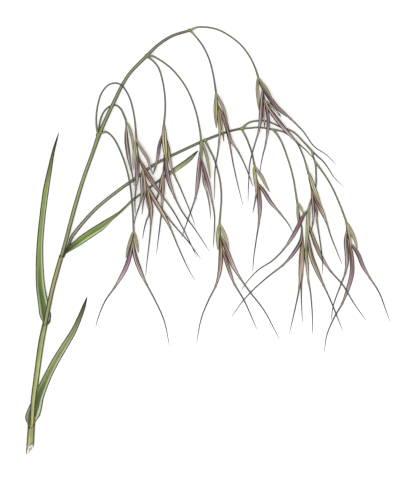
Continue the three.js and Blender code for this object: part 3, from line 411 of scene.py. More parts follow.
def tissue(
    name, roughness, nerves, nerve_shade, outline, margin=None, streaks=(), mottle_mm=6, sheen=0.0,
    flank_share=1.0,
):
    """A plant tissue. Its colour comes from the tone of the piece, and on it lie long fibres, nerves,
    painted highlight streaks, papery margins and a painted dark rim.

    nerves is their number across, and nerve_shade what the tissue is multiplied by there. A streak is a
    painted highlight: its place across, its share of the width, its colour and its strength. margin is a
    share of the width, a colour and a strength. outline is the painted dark rim's width in mm and what it
    multiplies by, and flank_share how much of the rim is left at the very side, which keeps a stem's
    side from black.
    """
    material, tree = blank_material(name)
    tone = add_node(tree, "Attribute", attribute_name="tone").outputs["Color"]
    edge = add_node(tree, "Attribute", attribute_name="edge").outputs["Fac"]
    mm = add_node(tree, "Attribute", attribute_name="mm").outputs["Fac"]
    course = add_node(tree, "UVMap", uv_map="course").outputs["UV"]
    split = add_node(tree, "SeparateXYZ", {0: course})
    across = add_node(tree, "Math", {0: split.outputs["X"], 1: 1.0}, operation="PINGPONG").outputs[0]

    # Long fibres: noise that is drawn out along the course
    frequency = nerves * FIBRES_PER_NERVE
    fibre_across = add_node(tree, "Math", {0: across, 1: frequency}, operation="MULTIPLY").outputs[0]
    fibre_along = add_node(tree, "Math", {0: mm, 1: 1 / FIBRE_MM}, operation="MULTIPLY").outputs[0]
    fibre_place = add_node(tree, "CombineXYZ", {"X": fibre_across, "Y": fibre_along}).outputs[0]
    noise = {"Vector": fibre_place, "Scale": 1.0, "Detail": FIBRE_DETAIL}
    fibres = add_node(tree, "TexNoise", noise).outputs["Fac"]
    fibre_range = zip(RANGE, (fibres, *NOISE_RANGE, *FIBRE_SHADES))
    fibre_shade = add_node(tree, "MapRange", fibre_range).outputs[0]

    # Cloudy patches, as where more or less light fell on the growing plant
    place = add_node(tree, "TexCoord").outputs["Object"]
    noise = {"Vector": place, "Scale": 1 / (mottle_mm * MM), "Detail": CLOUD_DETAIL}
    clouds = add_node(tree, "TexNoise", noise).outputs["Fac"]
    cloud_range = zip(RANGE, (clouds, *NOISE_RANGE, *CLOUD_SHADES))
    cloud_shade = add_node(tree, "MapRange", cloud_range).outputs[0]
    shade = add_node(tree, "Math", {0: fibre_shade, 1: cloud_shade}, operation="MULTIPLY").outputs[0]
    colour = add_node(tree, "VectorMath", {0: tone, "Scale": shade}, operation="SCALE").outputs[0]

    # Nerves: narrow lines at even steps across
    wave = add_node(tree, "Math", {0: across, 1: 2 * math.pi * nerves}, operation="MULTIPLY").outputs[0]
    crest = add_node(tree, "Math", {0: wave}, operation="COSINE").outputs[0]
    line_range = zip(RANGE, (crest, NERVE_START, 1.0, 0.0, 1.0))
    line = add_node(tree, "MapRange", line_range, interpolation_type="SMOOTHSTEP").outputs[0]
    nerved = zip(MIX, (line, colour, linear(nerve_shade)))
    colour = add_node(tree, "MixRGB", nerved, blend_type="MULTIPLY").outputs[0]

    # Bands of another colour: painted highlight streaks about their places across, and the margins
    bands = []
    for centre, share, *look in streaks:
        from_streak = add_node(tree, "Math", {0: across, 1: centre}, operation="SUBTRACT").outputs[0]
        distance = add_node(tree, "Math", {0: from_streak}, operation="ABSOLUTE").outputs[0]
        bands.append((distance, share / 2, *look))
    if margin:
        from_margin = add_node(tree, "Math", {0: across, 1: 0.5}, operation="PINGPONG").outputs[0]
        bands.append((from_margin, *margin))
    for distance, width, band_colour, strength in bands:
        band_range = zip(RANGE, (distance, width, width / 2, 0.0, strength))
        band = add_node(tree, "MapRange", band_range, interpolation_type="SMOOTHSTEP").outputs[0]
        colour = add_node(tree, "MixRGB", zip(MIX, (band, colour, linear(band_colour)))).outputs[0]

    # The rim: a painted dark line, as is drawn round each organ in a botanical plate. On round stems,
    # awns and rolled scales it lies along both flanks as a painted shade.
    rim_mm, rim_shade = outline
    outside, inside = (rim_mm * share for share in RIM_FADE)
    rim_range = zip(RANGE, (edge, outside, inside, 0.0, 1.0))
    rim = add_node(tree, "MapRange", rim_range, interpolation_type="SMOOTHSTEP").outputs[0]
    flank_range = zip(RANGE, (edge, 0.0, rim_mm * FLANK_REACH, flank_share, 1.0))
    flank = add_node(tree, "MapRange", flank_range, interpolation_type="SMOOTHSTEP").outputs[0]
    rim = add_node(tree, "Math", {0: rim, 1: flank}, operation="MULTIPLY").outputs[0]
    rimmed = zip(MIX, (rim, colour, linear(rim_shade)))
    colour = add_node(tree, "MixRGB", rimmed, blend_type="MULTIPLY").outputs[0]

    height = add_node(tree, "Math", {0: crest, 1: fibres}, operation="ADD").outputs[0]
    relief = {"Height": height, "Strength": RELIEF_STRENGTH, "Distance": NERVE_RELIEF * MM}
    bump = add_node(tree, "Bump", relief).outputs[0]
    spread = roughness - ROUGHNESS_SPREAD, roughness + ROUGHNESS_SPREAD
    gloss = add_node(tree, "MapRange", zip(RANGE, (fibres, *NOISE_RANGE, *spread))).outputs[0]
    shader = add_node(
        tree,
        "BsdfPrincipled",
        {
            "Base Color": colour,
            "Roughness": gloss,
            "IOR": PLANT_IOR,
            "Sheen Weight": sheen,
            "Sheen Roughness": SHEEN_ROUGHNESS,
            "Normal": bump,
        },
    )
    add_node(tree, "OutputMaterial", {"Surface": shader.outputs[0]})
    return material


# Stems, leaves, scales and awns have painted dark rims of 0.4 to 0.7 mm, as wide as a plate's ink lines
# look here.

# Grass culm and sheath, growing: fine ribs under a thin bloom of wax, and a painted dark green rim that
# shades its flanks
culm_straw = tissue(
    "grass_culm_waxy", 0.5, nerves=12, nerve_shade="#d2d4bc", outline=(0.62, "#323422"), flank_share=0.3
)
# Pedicel straw, wiry and rough to the touch: few ribs, and a thin painted dark rim that shades its flanks
pedicel_straw = tissue(
    "grass_pedicel_scabrid", 0.6, nerves=6, nerve_shade="#d2d2be", outline=(0.46, "#3c3a26"),
    flank_share=0.3,
)
# Leaf blade, fresh: parallel veins, satin, with a painted dark rim, pale margins and a painted highlight
# streak on one half
leaf_tissue = tissue(
    "grass_leaf_fresh", 0.48, nerves=15, nerve_shade="#d0d8bc", outline=(0.7, "#2a2e1e"),
    margin=(0.22, "#d6d8b6", 0.4), streaks=[(0.8, 0.16, "#dfe4cc", 0.45)],
)
# Glume chaff, papery: dark green nerves on a paler field, thin pale edges, two painted highlight streaks
# and a painted dark rim
glume_chaff = tissue(
    "grass_glume_papery", 0.62, nerves=4, nerve_shade="#a8a682", outline=(0.6, "#221c10"),
    margin=(0.06, "#e2dcc0", 0.6), streaks=[(0.36, 0.14, "#d2ceaa", 0.7), (0.64, 0.14, "#d2ceaa", 0.6)],
    mottle_mm=4, sheen=0.1,
)
# Lemma chaff, rough and flushed with purple: dark nerves, painted pale highlight streaks between them,
# papery margins and a painted dark rim
lemma_chaff = tissue(
    "grass_lemma_flushed", 0.62, nerves=8, nerve_shade="#a28e8c", outline=(0.66, "#21181b"),
    margin=(0.08, "#dccdc2", 0.85), streaks=[(0.42, 0.07, "#dccbc0", 0.7), (0.59, 0.05, "#d2c0b4", 0.45)],
    mottle_mm=4, sheen=0.1,
)
# Awn, a dry bristle: a stiff fibre, dark below and straw-grey at its tip, with a painted dark rim that
# shades its flanks
awn_bristle = tissue(
    "grass_awn_bristle", 0.55, nerves=3, nerve_shade="#c0b8b0", outline=(0.42, "#3a302c"), mottle_mm=8
)
# Pith and wall of the cut end: moist and cream, with a ring of strands
cut_pith = tissue(
    "grass_pith_cut", 0.7, nerves=9, nerve_shade="#e6dfc6", outline=(0.05, "#b9ae8a"), mottle_mm=0.8
)
# Membrane of ligules and paleas: thin, pale and papery
membrane = tissue(
    "grass_membrane_papery", 0.55, nerves=8, nerve_shade="#d9d2bb", outline=(0.1, "#b4a98c"), mottle_mm=1
)
# Soft hairs of the sheaths, silvery
soft_hair = tissue(
    "plant_hair_silvery", 0.4, nerves=1, nerve_shade="#ffffff", outline=(0.01, "#ffffff"), sheen=0.3
)


# Shapes

LIT = 0.86  # takes off again what the lamps add to the tones, which are written as they look
VIVID = 1.14  # makes up for the grey that the shine of a white room lays over the tones
GREY_WEIGHTS = (0.21, 0.72, 0.07, 0)
EYE_POWER = 2.2  # turns a shade as the eye reads it into one of light
# FOOT_HOLD sets how far the painted light and shade at a blade's foot holds before it fades out
FOOT_HOLD = 1.5  # the larger, the further the shades at a foot hold before they fade out
ASKEW = (0.31, 0.22, 0.93)  # a direction that no hair grows in
HAIR_MIDDLE = 0.55
HAIR_TAPER = 0.7
HAIR_BEND = 0.35
HAIR_ROOT = 0.03
SHARP_ANGLE = 50
LOWEST = 0.02  # mm that the lowest points keep above the floor
STEPS = 10  # stations to each span of a table
BRANCH_STEPS = 8
SPIKELET_STEPS = 12
SEED = 7

chance = np.random.default_rng(SEED)


def unit(vectors):
    return vectors / np.linalg.norm(vectors, axis=-1, keepdims=True)


def evenly(count):
    return np.linspace(0, 1, count)


def read(table, shares):
    """Values at shares, with straight lines between the rows of a table of share and value."""
    return np.interp(shares, [place for place, _ in table], [value for _, value in table])


def running_lengths(points):
    """Lengths along a line of points, from the first."""
    return np.concatenate([[0], np.linalg.norm(np.diff(points, axis=0), axis=1).cumsum()])


def route(rows, steps):
    """The smooth line through rows of x, y and z, with steps to each span, and their further values."""
    rows = np.array(rows, float)
    points = rows[:, :3]
    points = np.vstack([2 * points[0] - points[1], points, 2 * points[-1] - points[-2]])
    share = np.arange(steps)[:, None] / steps
    spans = []
    for before, start, end, after in zip(points, points[1:], points[2:], points[3:]):
        first, middle, last = (
            np.linalg.norm(b - a) ** 0.5 for a, b in ((before, start), (start, end), (end, after))
        )
        leave = ((start - before) / first - (end - before) / (first + middle)) * middle + end - start
        arrive = ((after - end) / last - (after - start) / (middle + last)) * middle + end - start
        spans.append(
            start
            + leave * share
            + (3 * (end - start) - 2 * leave - arrive) * share**2
            + (2 * (start - end) + leave + arrive) * share**3
        )
    line = np.vstack([*spans, points[-2]])
    place = np.arange(len(line)) / steps
    values = [np.interp(place, np.arange(len(rows)), column) for column in rows[:, 3:].T]
    return line, values


class Course:
    """Stations along a line in mm. At each, side lies level to the right, and up is square to both."""

    def __init__(self, line):
        self.line = line
        self.along = unit(np.gradient(line, axis=0))
        self.side = unit(self.along[:, [1, 0, 2]] * (1, -1, 0))
        self.up = np.cross(self.side, self.along)
        self.mm = running_lengths(line)
        self.share = self.mm / self.mm[-1]

    def place(self, right, high):
        """The points at right and high, both by station and then by place round the ring."""
        right, high = np.broadcast_arrays(right, high)
        sideways = right[..., None] * self.side[:, None]
        return self.line[:, None] + sideways + high[..., None] * self.up[:, None]

    def ring(self, radius, angles):
        return self.place(radius * np.cos(angles), radius * np.sin(angles))


def spaced(points, shares):
    """The course through points, with its stations at the given shares of its length."""
    line, _ = route(points, SPIKELET_STEPS)
    lengths = running_lengths(line)
    wanted = np.asarray(shares) * lengths[-1]
    return Course(np.stack([np.interp(wanted, lengths, column) for column in line.T], axis=1))


def circle(sides):
    """The angles round a tube, from its right side over its top."""
    return np.arange(sides) / sides * 2 * np.pi


def tones(stops, shares):
    """Linear colours at shares, read between stops of a share and a hex colour."""
    places = [place for place, _ in stops]
    colours = np.array([linear(colour) for _, colour in stops])
    grey = colours @ GREY_WEIGHTS
    colours = grey[:, None] + (colours - grey[:, None]) * VIVID
    return np.stack([np.interp(shares, places, column) for column in colours.T], axis=-1) * LIT


def shaded(stops, shades, shares, across, foot=None):
    """Linear colours by station and by place across: the tones of the stops, each place in its painted
    light and shade.

    shades holds rows of a place, from -1 at the left to 1 at the right, and a shade: above 1 a painted
    highlight, below 1 a painted shade. foot holds the share up to which other shades fade out, and those."""
    # Painted light and shade by place across: above 1 a painted highlight, below 1 a painted shade
    painted_shading = read(shades, across) + np.zeros((len(shares), 1))
    if foot:
        end, foot_shades = foot
        near = np.clip(FOOT_HOLD - FOOT_HOLD * shares / end, 0, 1)[:, None]
        painted_shading = painted_shading * (1 - near) + read(foot_shades, across) * near
    return tones(stops, shares)[:, None] * (painted_shading**EYE_POWER)[..., None]


class Form:
    """Gathers the surfaces of one piece: points in mm, and what its materials read on them."""

    def __init__(self, *finishes):
        self.finishes = finishes
        self.points, self.tone, self.edge, self.mm = [], [], [], []
        self.corners, self.sizes, self.uv, self.finish = [], [], [], []
        self.count = 0

    def add(self, points, tone, edge, mm, faces, finish):
        """faces holds rows of corner numbers and their UVs, a group for each number of corners."""
        self.points.append(points)
        self.tone.append(tone)
        self.edge.append(edge)
        self.mm.append(mm)
        for corners, uv in faces:
            self.corners.append(corners.ravel() + self.count)
            self.sizes.append(np.full(len(corners), corners.shape[1]))
            self.uv.append(uv.reshape(-1, 2))
            self.finish.append(np.full(len(corners), self.finishes.index(finish)))
        self.count += len(points)

    def sweep(self, rings, course, tone, edge, finish, across=None):
        """Skins rings of points and caps both ends. edge is how many mm each lies inside the outline,
        and across the U of each and of the first again, even steps where it isn't given."""
        stations, around = rings.shape[:2]
        across = np.arange(around + 1) / around if across is None else across
        here = np.arange(stations - 1)[:, None] * around + np.arange(around)
        then = np.arange(stations - 1)[:, None] * around + (np.arange(around) + 1) % around
        quads = np.stack([here, here + around, then + around, then], axis=-1).reshape(-1, 4)
        low, high = np.meshgrid(course.share[:-1], across[:-1], indexing="ij")
        low_next, high_next = np.meshgrid(course.share[1:], across[1:], indexing="ij")
        uv = np.stack([high, low, high, low_next, high_next, low_next, high_next, low], axis=-1)
        first = np.arange(around)[None]
        last = first[:, ::-1] + (stations - 1) * around
        end_uv = [np.stack([across[first % around], np.full(first.shape, v)], axis=-1) for v in (0, 1)]
        tone = tone if tone.ndim == 3 else tone[:, None]
        self.add(
            rings.reshape(-1, 3),
            np.broadcast_to(tone, (stations, around, 4)).reshape(-1, 4),
            np.broadcast_to(edge, (stations, around)).ravel(),
            np.broadcast_to(course.mm[:, None], (stations, around)).ravel(),
            [(quads, uv), (first, end_uv[0]), (last, end_uv[1][:, ::-1])],
            finish,
        )

    def bristles(self, roots, ways, lengths, thickness, bend, tone, finish):
        """Fine hairs or barbs from roots: three-sided, pointed, and bent towards bend at their tips."""
        ways = unit(ways)
        flat = unit(np.cross(ways, ASKEW))
        cross = np.cross(ways, flat)
        turns = [0, 2 * math.pi / 3, 4 * math.pi / 3]
        ring = [(flat * math.cos(turn) + cross * math.sin(turn)) * thickness / 2 for turn in turns]
        lengths = np.broadcast_to(lengths, len(roots))[:, None]
        middle = roots + ways * lengths * HAIR_MIDDLE
        tip = roots + ways * lengths + bend * lengths * HAIR_BEND
        upper = (middle + r * HAIR_TAPER for r in ring)
        points = np.stack([*(roots + r for r in ring), *upper, tip], axis=1)
        start = np.arange(len(roots))[:, None, None] * points.shape[1]
        quads = (start + np.array([[0, 1, 4, 3], [1, 2, 5, 4], [2, 0, 3, 5]])).reshape(-1, 4)
        triangles = (start + np.array([[3, 4, 6], [4, 5, 6], [5, 3, 6], [0, 2, 1]])).reshape(-1, 3)
        size = points.shape[0] * points.shape[1]
        tone = np.broadcast_to(tone, (len(roots), 4)).repeat(points.shape[1], axis=0)
        faces = [(corners, np.full((*corners.shape, 2), 0.5)) for corners in (quads, triangles)]
        self.add(points.reshape(-1, 3), tone, np.ones(size), np.zeros(size), faces, finish)

    def piece(self, name):
        """The piece as a smooth-shaded mesh in metres, with its materials."""
        mesh = bpy.data.meshes.new(name)
        points = np.vstack(self.points)
        points[:, 2] = np.maximum(points[:, 2], LOWEST)
        corners, sizes = np.concatenate(self.corners), np.concatenate(self.sizes)
        mesh.vertices.add(len(points))
        mesh.vertices.foreach_set("co", (points * MM).ravel())
        mesh.loops.add(len(corners))
        mesh.loops.foreach_set("vertex_index", corners)
        mesh.polygons.add(len(sizes))
        mesh.polygons.foreach_set("loop_start", np.concatenate([[0], sizes.cumsum()[:-1]]))
        mesh.polygons.foreach_set("material_index", np.concatenate(self.finish))
        mesh.update(calc_edges=True)
        mesh.uv_layers.new(name="course").uv.foreach_set("vector", np.vstack(self.uv).ravel())
        tone = mesh.attributes.new("tone", "FLOAT_COLOR", "POINT")
        tone.data.foreach_set("color", np.vstack(self.tone).ravel())
        for value, rows in (("edge", self.edge), ("mm", self.mm)):
            mesh.attributes.new(value, "FLOAT", "POINT").data.foreach_set("value", np.concatenate(rows))
        mesh.shade_smooth()
        mesh.set_sharp_from_angle(angle=math.radians(SHARP_ANGLE))
        for finish in self.finishes:
            mesh.materials.append(finish)
        made = bpy.data.objects.new(name, mesh)
        bpy.context.scene.collection.objects.link(made)
        return made


def stand_for(form, node):
    """Makes the form the piece that is shown in place of a node."""
    made = form.piece(node + "_grown")
    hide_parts(node)
    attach(made, "root")


def stalk(form, course, widths, sides, tone, finish, ribs=0, rib=0.0):
    """A round stem with fine ribs along it. rib is their depth, as a share of the radius."""
    angles = circle(sides)
    radius = widths[:, None] / 2 * (1 + rib * (np.cos(angles * ribs) - 1) / 2)
    rings = course.ring(radius, angles)
    # edge lays the painted dark rim along both flanks of the stem, a painted shade there
    form.sweep(rings, course, tone, radius * (1 - np.abs(np.cos(angles))), finish)
    return rings


def shell(form, course, outer, inner, shares, tone, edge, finish, turn=0.0, ahead=0.0):
    """Skins a thin shell. outer and inner hold the right and high of each place, from the right edge
    over the top to the left one. turn rolls the section about the course, and ahead moves each place
    along it."""
    right = np.concatenate([outer[0], inner[0][:, ::-1]], axis=1)
    high = np.concatenate([outer[1], inner[1][:, ::-1]], axis=1)
    cos, sin = np.cos(turn), np.sin(turn)
    rings = course.place(right * cos - high * sin, right * sin + high * cos)
    ahead = np.broadcast_to(ahead, outer[0].shape)
    rings = rings + np.concatenate([ahead, ahead[:, ::-1]], axis=1)[..., None] * course.along[:, None]
    across = np.concatenate([shares, -shares[::-1], -shares[:1]])
    edge = np.concatenate([edge, edge[..., ::-1]], axis=-1)
    tone = np.concatenate([tone, tone[:, ::-1]], axis=1) if tone.ndim == 3 else tone
    form.sweep(rings, course, tone, edge, finish, across)


# Stems and sheaths

STEM_SIDES = 36
SHOOT_SIDES = 30
BRANCH_SIDES = 16
CULM_RIBS = 12
SHOOT_RIBS = 10
BRANCH_RIBS = 6
STEM_RIB = 0.06
BRANCH_RIB = 0.05
SHEATH_RIB = 0.03
SHEATH_WALL = 0.3
RIM_HEIGHT = 0.12
RIM_RINGS = 5
# Painted shade inside a sheath's mouth: its lip and inner wall take this share of the tone
MOUTH_PAINTED_SHADE = (0.25, 0.25, 0.25, 1)
INSIDE_SHEATH = 15  # stations that a length of stem runs on inside the sheath below it
# Hairs are thicker than the real ones, so that they show
HAIR_LENGTH = 0.7
HAIR_THICKNESS = 0.06
HAIR_LENGTHS = (0.6, 1.3)  # shares of that length
HAIR_LEAN = (-0.2, 0.9)  # forwards along the stem
HAIR_SCATTER = 0.25
HAIR_SWEEP = 0.5
SHEATH_HAIRS = (160, 420, 200)
LIGULE_HEIGHT = 0.7
LIGULE_RAGS = 0.25  # how ragged its edge is, both as a share and in mm
LIGULE_WALL = 0.09
# Shares of a ligule's height, or mm where it is below the mouth, and mm that it stands off there
LIGULE_RINGS = ((-0.8, 0.1), (0, 0.14), (0.4, 0.2), (0.75, 0.3), (1, 0.42))

# Each sheath, and last the bare stem: its first and last row in the table of the culm
CULM_TUBES = ((0, 2), (3, 7), (8, 11), (12, 17))
# The slant of each sheath's mouth: mm that it lies further on, mm up to its highest side, that side
# in degrees from the right, and mm over which the slant fades
SHEATH_COLLARS = [
    {"lift": 2.5, "rise": 4.27, "highest": -69, "fade": 12},
    {"lift": 1.3, "rise": 2.45, "highest": -80, "fade": 8},
    {"lift": 1.6, "rise": 1.6, "highest": -62, "fade": 6},
]
# The slanted cut at the foot: a point on it, and the way that it faces
CUT_AT = (-125.3, -146.4, 2.3)
CUT_OUTWARD = math.radians(-45)
CUT_UPWARD = math.radians(30)
CUT_FACING = np.array(
    [
        math.cos(CUT_OUTWARD) * math.cos(CUT_UPWARD),
        math.sin(CUT_OUTWARD) * math.cos(CUT_UPWARD),
        math.sin(CUT_UPWARD),
    ]
)
CUT_RINGS = 8
CUT_STATION = 8
# Share of the radius and mm into the stem, from the wall over the groove to the pith
CUT_STEPS = (
    (0.97, 1.5), (0.97, 0.05), (0.9, 0), (0.87, 0.14), (0.84, 0.14), (0.8, -0.05), (0.36, -0.05),
    (0.3, 0.2), (0.24, 0.5),
)

BRANCH_WIDTH = 1.25
BRANCH_PROFILE = [(0, 1.35), (0.04, 1.3), (0.1, 1.02), (0.5, 0.94), (0.85, 1), (0.97, 1.15), (1, 1.2)]
BARE_BRANCHLET = 6  # it carries no spikelet and thins out to a point
BARE_PROFILE = [(0, 1), (0.3, 0.75), (0.8, 0.4), (1, 0.14)]
JOINT_STATIONS = 13
JOINT_SIDES = 20
JOINT_RIBS = 10
JOINT_RIB = 0.04
JOINT_BLUNTNESS = 0.02
# A thickened joint: where, its direction, width and length
JOINTS = [
    ((-77, 73.6, 10), (0.35, 0.93, 0.1), 3.9, 3.6),
    ((-43.3, 129, 13), (0.8, 0.6, 0.1), 3.1, 3.2),
    ((-13.2, 146.8, 15), (0.95, 0.3, 0.05), 2.7, 3),
]
SHOOT_JOINTS = [((-2.5, 70, 5.1), (0.9, 0.4, 0), 2.6, 2.8), ((23.6, 78.3, 6.3), (1, 0.1, 0), 2.6, 3)]

# Tones along the stems, and the painted light and shade across them: a pale highlight band and darker
# flanks
CULM_TONES = [
    [(0.25, "#ece3d6"), (0.36, "#dad1bd"), (0.5, "#b5b488"), (0.7, "#a8aa75"), (1, "#a1a072")],
    [
        (0, "#a89d63"), (0.2, "#a7a168"), (0.27, "#a5ae72"), (0.6, "#9fa76d"), (0.9, "#939a64"),
        (1, "#888e5e"),
    ],
    [(0, "#808458"), (0.3, "#919166"), (0.7, "#9a986d"), (1, "#908e66")],
    [(0, "#85895b"), (0.3, "#8e9369"), (0.7, "#92986e"), (1, "#848a5c")],
]
# Painted highlight and painted shade across each length of the culm, by place from left to right
CULM_PAINTED_SHADING = [
    [
        (-1, 0.6), (-0.88, 0.52), (-0.62, 0.92), (-0.35, 0.98), (-0.08, 1.02), (0.18, 0.84), (0.44, 1),
        (0.72, 0.74), (1, 0.64),
    ],
    [(-1, 0.62), (-0.6, 0.78), (-0.2, 0.98), (0.1, 1.04), (0.4, 1.16), (0.7, 0.98), (1, 0.7)],
    [(-1, 0.7), (-0.6, 0.92), (-0.2, 1.1), (0.2, 0.96), (0.6, 0.84), (1, 0.68)],
    [(-1, 0.7), (-0.6, 0.95), (-0.1, 1.08), (0.3, 0.96), (0.7, 0.8), (1, 0.68)],
]
RACHIS_TONES = [
    (0, "#868c60"), (0.3, "#8b9069"), (0.5, "#8d9072"), (0.65, "#8b8a6c"), (0.75, "#8a8072"),
    (0.9, "#8a7c70"), (1, "#8f8672"),
]
SHOOT_TONES = [
    (0, "#5e5c40"), (0.04, "#787458"), (0.09, "#9a947a"), (0.2, "#9a9b7c"), (0.5, "#90906f"),
    (0.7, "#8a8d69"), (1, "#91916f"),
]
# Painted light and shade across a branch: lighter along its middle, darker at both flanks
BRANCH_PAINTED_SHADING = [(-1, 0.74), (-0.5, 0.96), (0, 1.08), (0.5, 0.92), (1, 0.7)]
BRANCH_TONES = [
    [(0, "#b2ad92"), (0.3, "#95966e"), (0.7, "#8f936a"), (1, "#8c9162")],
    [(0, "#b2ad92"), (0.3, "#8f8f80"), (0.7, "#8d7a73"), (1, "#84736a")],
    [(0, "#939572"), (0.4, "#8d8e72"), (0.8, "#95927a"), (1, "#929169")],
    [(0, "#939572"), (0.4, "#8f8f76"), (0.7, "#8d7d72"), (1, "#928b68")],
    [(0, "#888d70"), (0.4, "#8d8c72"), (0.75, "#988574"), (1, "#928368")],
    [(0, "#888d70"), (0.5, "#8d8c72"), (1, "#858160")],
    [(0, "#8d9072"), (0.5, "#8f8f72"), (0.85, "#958970"), (1, "#928b60")],
]
SHOOT_BRANCH_TONES = [(0, "#9ba177"), (0.5, "#a09c7c"), (1, "#a09678")]
JOINT_TONE = [(0, "#939660"), (0.5, "#8a8558"), (1, "#979a68")]
SHOOT_JOINT_TONE = [(0, "#98a264"), (0.5, "#aab26e"), (1, "#9ea668")]
LIGULE_TONE = [(0, "#a3a578"), (1, "#b4b489")]
HAIR_COLOUR = "#d9dcc4"
PITH_TONES = [
    (0, "#efe8dc"), (0.25, "#fffaf6"), (0.38, "#fffcf8"), (0.5, "#f0e9de"), (0.63, "#f0e9de"),
    (0.75, "#fff8f2"), (0.88, "#6c665a"), (1, "#6c665a"),
]


def beyond_cut(points, along):
    """How far each point lies on from the plane of the slanted cut, measured along a direction."""
    return (points - CUT_AT) @ CUT_FACING / (along @ CUT_FACING)


def cut_slantwise(rings, joined):
    """Starts a tube on the plane of the slanted cut, and evens out its rings up to the joined one."""
    axis = unit(rings[joined].mean(0) - rings[0].mean(0))
    start = rings[joined] - beyond_cut(rings[joined], axis)[:, None] * axis
    share = evenly(joined + 1)[:, None, None]
    rings[: joined + 1] = start + (rings[joined] - start) * share
    return rings


def mouth_slant(collar, angles):
    """How much further on a sheath's mouth lies at each angle round it."""
    return collar["lift"] + collar["rise"] * np.cos(angles - math.radians(collar["highest"]))


def sheath(form, course, widths, tone, collar, cut=False):
    """A leaf sheath: a ribbed tube whose mouth slants up to where the blade leaves it."""
    angles = circle(STEM_SIDES)
    radius = widths[:, None] / 2 * (1 + SHEATH_RIB * (np.cos(angles * CULM_RIBS) - 1))
    near_mouth = np.clip(1 - (course.mm[-1] - course.mm) / collar["fade"], 0, 1) ** 2
    ahead = near_mouth[:, None, None] * mouth_slant(collar, angles)[:, None] * course.along[:, None]
    outer = course.ring(radius, angles) + ahead
    inner = course.ring(radius - SHEATH_WALL, angles) + ahead
    if cut:
        outer = cut_slantwise(outer, CUT_RINGS)
    rim = (outer[-1:] + inner[-1:]) / 2 + course.along[-1] * RIM_HEIGHT
    rings = np.concatenate([outer, rim, inner[: -RIM_RINGS - 1 : -1]])
    line = Course(rings.mean(1))
    line.mm = np.concatenate([course.mm, np.full(RIM_RINGS + 1, course.mm[-1])])
    line.share = line.mm / line.mm[-1]
    # Painted shade on the mouth's lip and down the inside of the sheath
    inside = np.repeat(tone[-1:] * MOUTH_PAINTED_SHADE, RIM_RINGS + 1, axis=0)
    radius = np.concatenate([radius, np.repeat(radius[-1:], RIM_RINGS + 1, axis=0)])
    edge = radius * (1 - np.abs(np.cos(angles)))
    form.sweep(rings, line, np.concatenate([tone, inside]), edge, culm_straw)
    return outer


def ligule(form, course, width, collar):
    """A ragged membrane that stands round the stem inside a sheath's slanted mouth."""
    angles = circle(STEM_SIDES)
    ragged = 1 - LIGULE_RAGS + LIGULE_RAGS * np.sin(angles * 5 + 1) * np.cos(angles * 3)
    ragged = LIGULE_HEIGHT * ragged + LIGULE_RAGS * chance.random(STEM_SIDES)
    outer = LIGULE_RINGS
    inner = [(step, lift - LIGULE_WALL) for step, lift in outer[::-1]]
    rings = []
    for step, lift in (*outer, *inner):
        ring = course.ring(np.full((len(course.line), 1), width / 2 + lift), angles)[0]
        height = mouth_slant(collar, angles) + (ragged * step if step > 0 else step)
        rings.append(ring + course.along[0] * height[:, None])
    shares = evenly(len(rings))
    line = Course(course.line[:1] + course.along[0] * shares[:, None])
    form.sweep(np.array(rings), line, tones(LIGULE_TONE, shares), 1.0, membrane)


def hairs_on(form, rings, number, along):
    """Soft hairs that stand out from a tube's surface."""
    stations, around = rings.shape[:2]
    i = chance.integers(1, stations - 1, number)
    j = chance.integers(0, around, number)
    out = unit(rings[i, j] - rings.mean(1)[i])
    lean = along[i] * chance.uniform(*HAIR_LEAN, (number, 1))
    ways = out + lean + chance.normal(0, HAIR_SCATTER, (number, 3))
    lengths = HAIR_LENGTH * chance.uniform(*HAIR_LENGTHS, number)
    roots = rings[i, j] - out * HAIR_ROOT
    form.bristles(
        roots, ways, lengths, HAIR_THICKNESS, along[i] * HAIR_SWEEP, linear(HAIR_COLOUR), soft_hair
    )


def bare_stem(form, rows, stops, sides, ribs):
    """A stem without a sheath, through the rows of a table."""
    line, (widths,) = route(rows, STEPS)
    course = Course(line)
    # The stem's tones, with painted light and shade laid across it
    tone = shaded(stops, CULM_PAINTED_SHADING[-1], course.share, np.cos(circle(sides)))
    stalk(form, course, widths, sides, tone, culm_straw, ribs, STEM_RIB)


def branch(form, points, stops, profile):
    """A wiry branch, with its widths read from a profile."""
    line, _ = route(points, BRANCH_STEPS)
    course = Course(line)
    widths = read(profile, course.share) * BRANCH_WIDTH
    # The branch's tones, with painted light and shade laid across it
    tone = shaded(stops, BRANCH_PAINTED_SHADING, course.share, np.cos(circle(BRANCH_SIDES)))
    stalk(form, course, widths, BRANCH_SIDES, tone, pedicel_straw, BRANCH_RIBS, BRANCH_RIB)


def swelling(form, at, toward, width, length, tone):
    """A smooth thickened joint on a stem."""
    at, toward = np.array(at), unit(np.array(toward))
    shares = evenly(JOINT_STATIONS)
    course = Course(at + toward * (shares[:, None] - 0.5) * length)
    widths = width * np.sqrt(np.clip(1 - (2 * shares - 1) ** 2, JOINT_BLUNTNESS, 1))
    stalk(form, course, widths, JOINT_SIDES, tones(tone, shares), culm_straw, JOINT_RIBS, JOINT_RIB)


def cut_face(form, line, width):
    """The stem's inside at the slanted cut: the wall, a groove round it, and the soft pith."""
    course = Course(line[: 2 * STEPS])
    angles = circle(STEM_SIDES)
    ahead = course.along[CUT_STATION]
    rings = []
    for share, depth in CUT_STEPS:
        ring = course.ring(np.full((len(course.line), 1), share * width / 2), angles)[CUT_STATION]
        rings.append(ring + (depth - beyond_cut(ring, ahead)[:, None]) * ahead)
    shares = evenly(len(rings))
    centre = Course(shares[:, None] * (0, 1, 0))
    form.sweep(np.array(rings[::-1]), centre, tones(PITH_TONES, shares), 1.0, cut_pith)


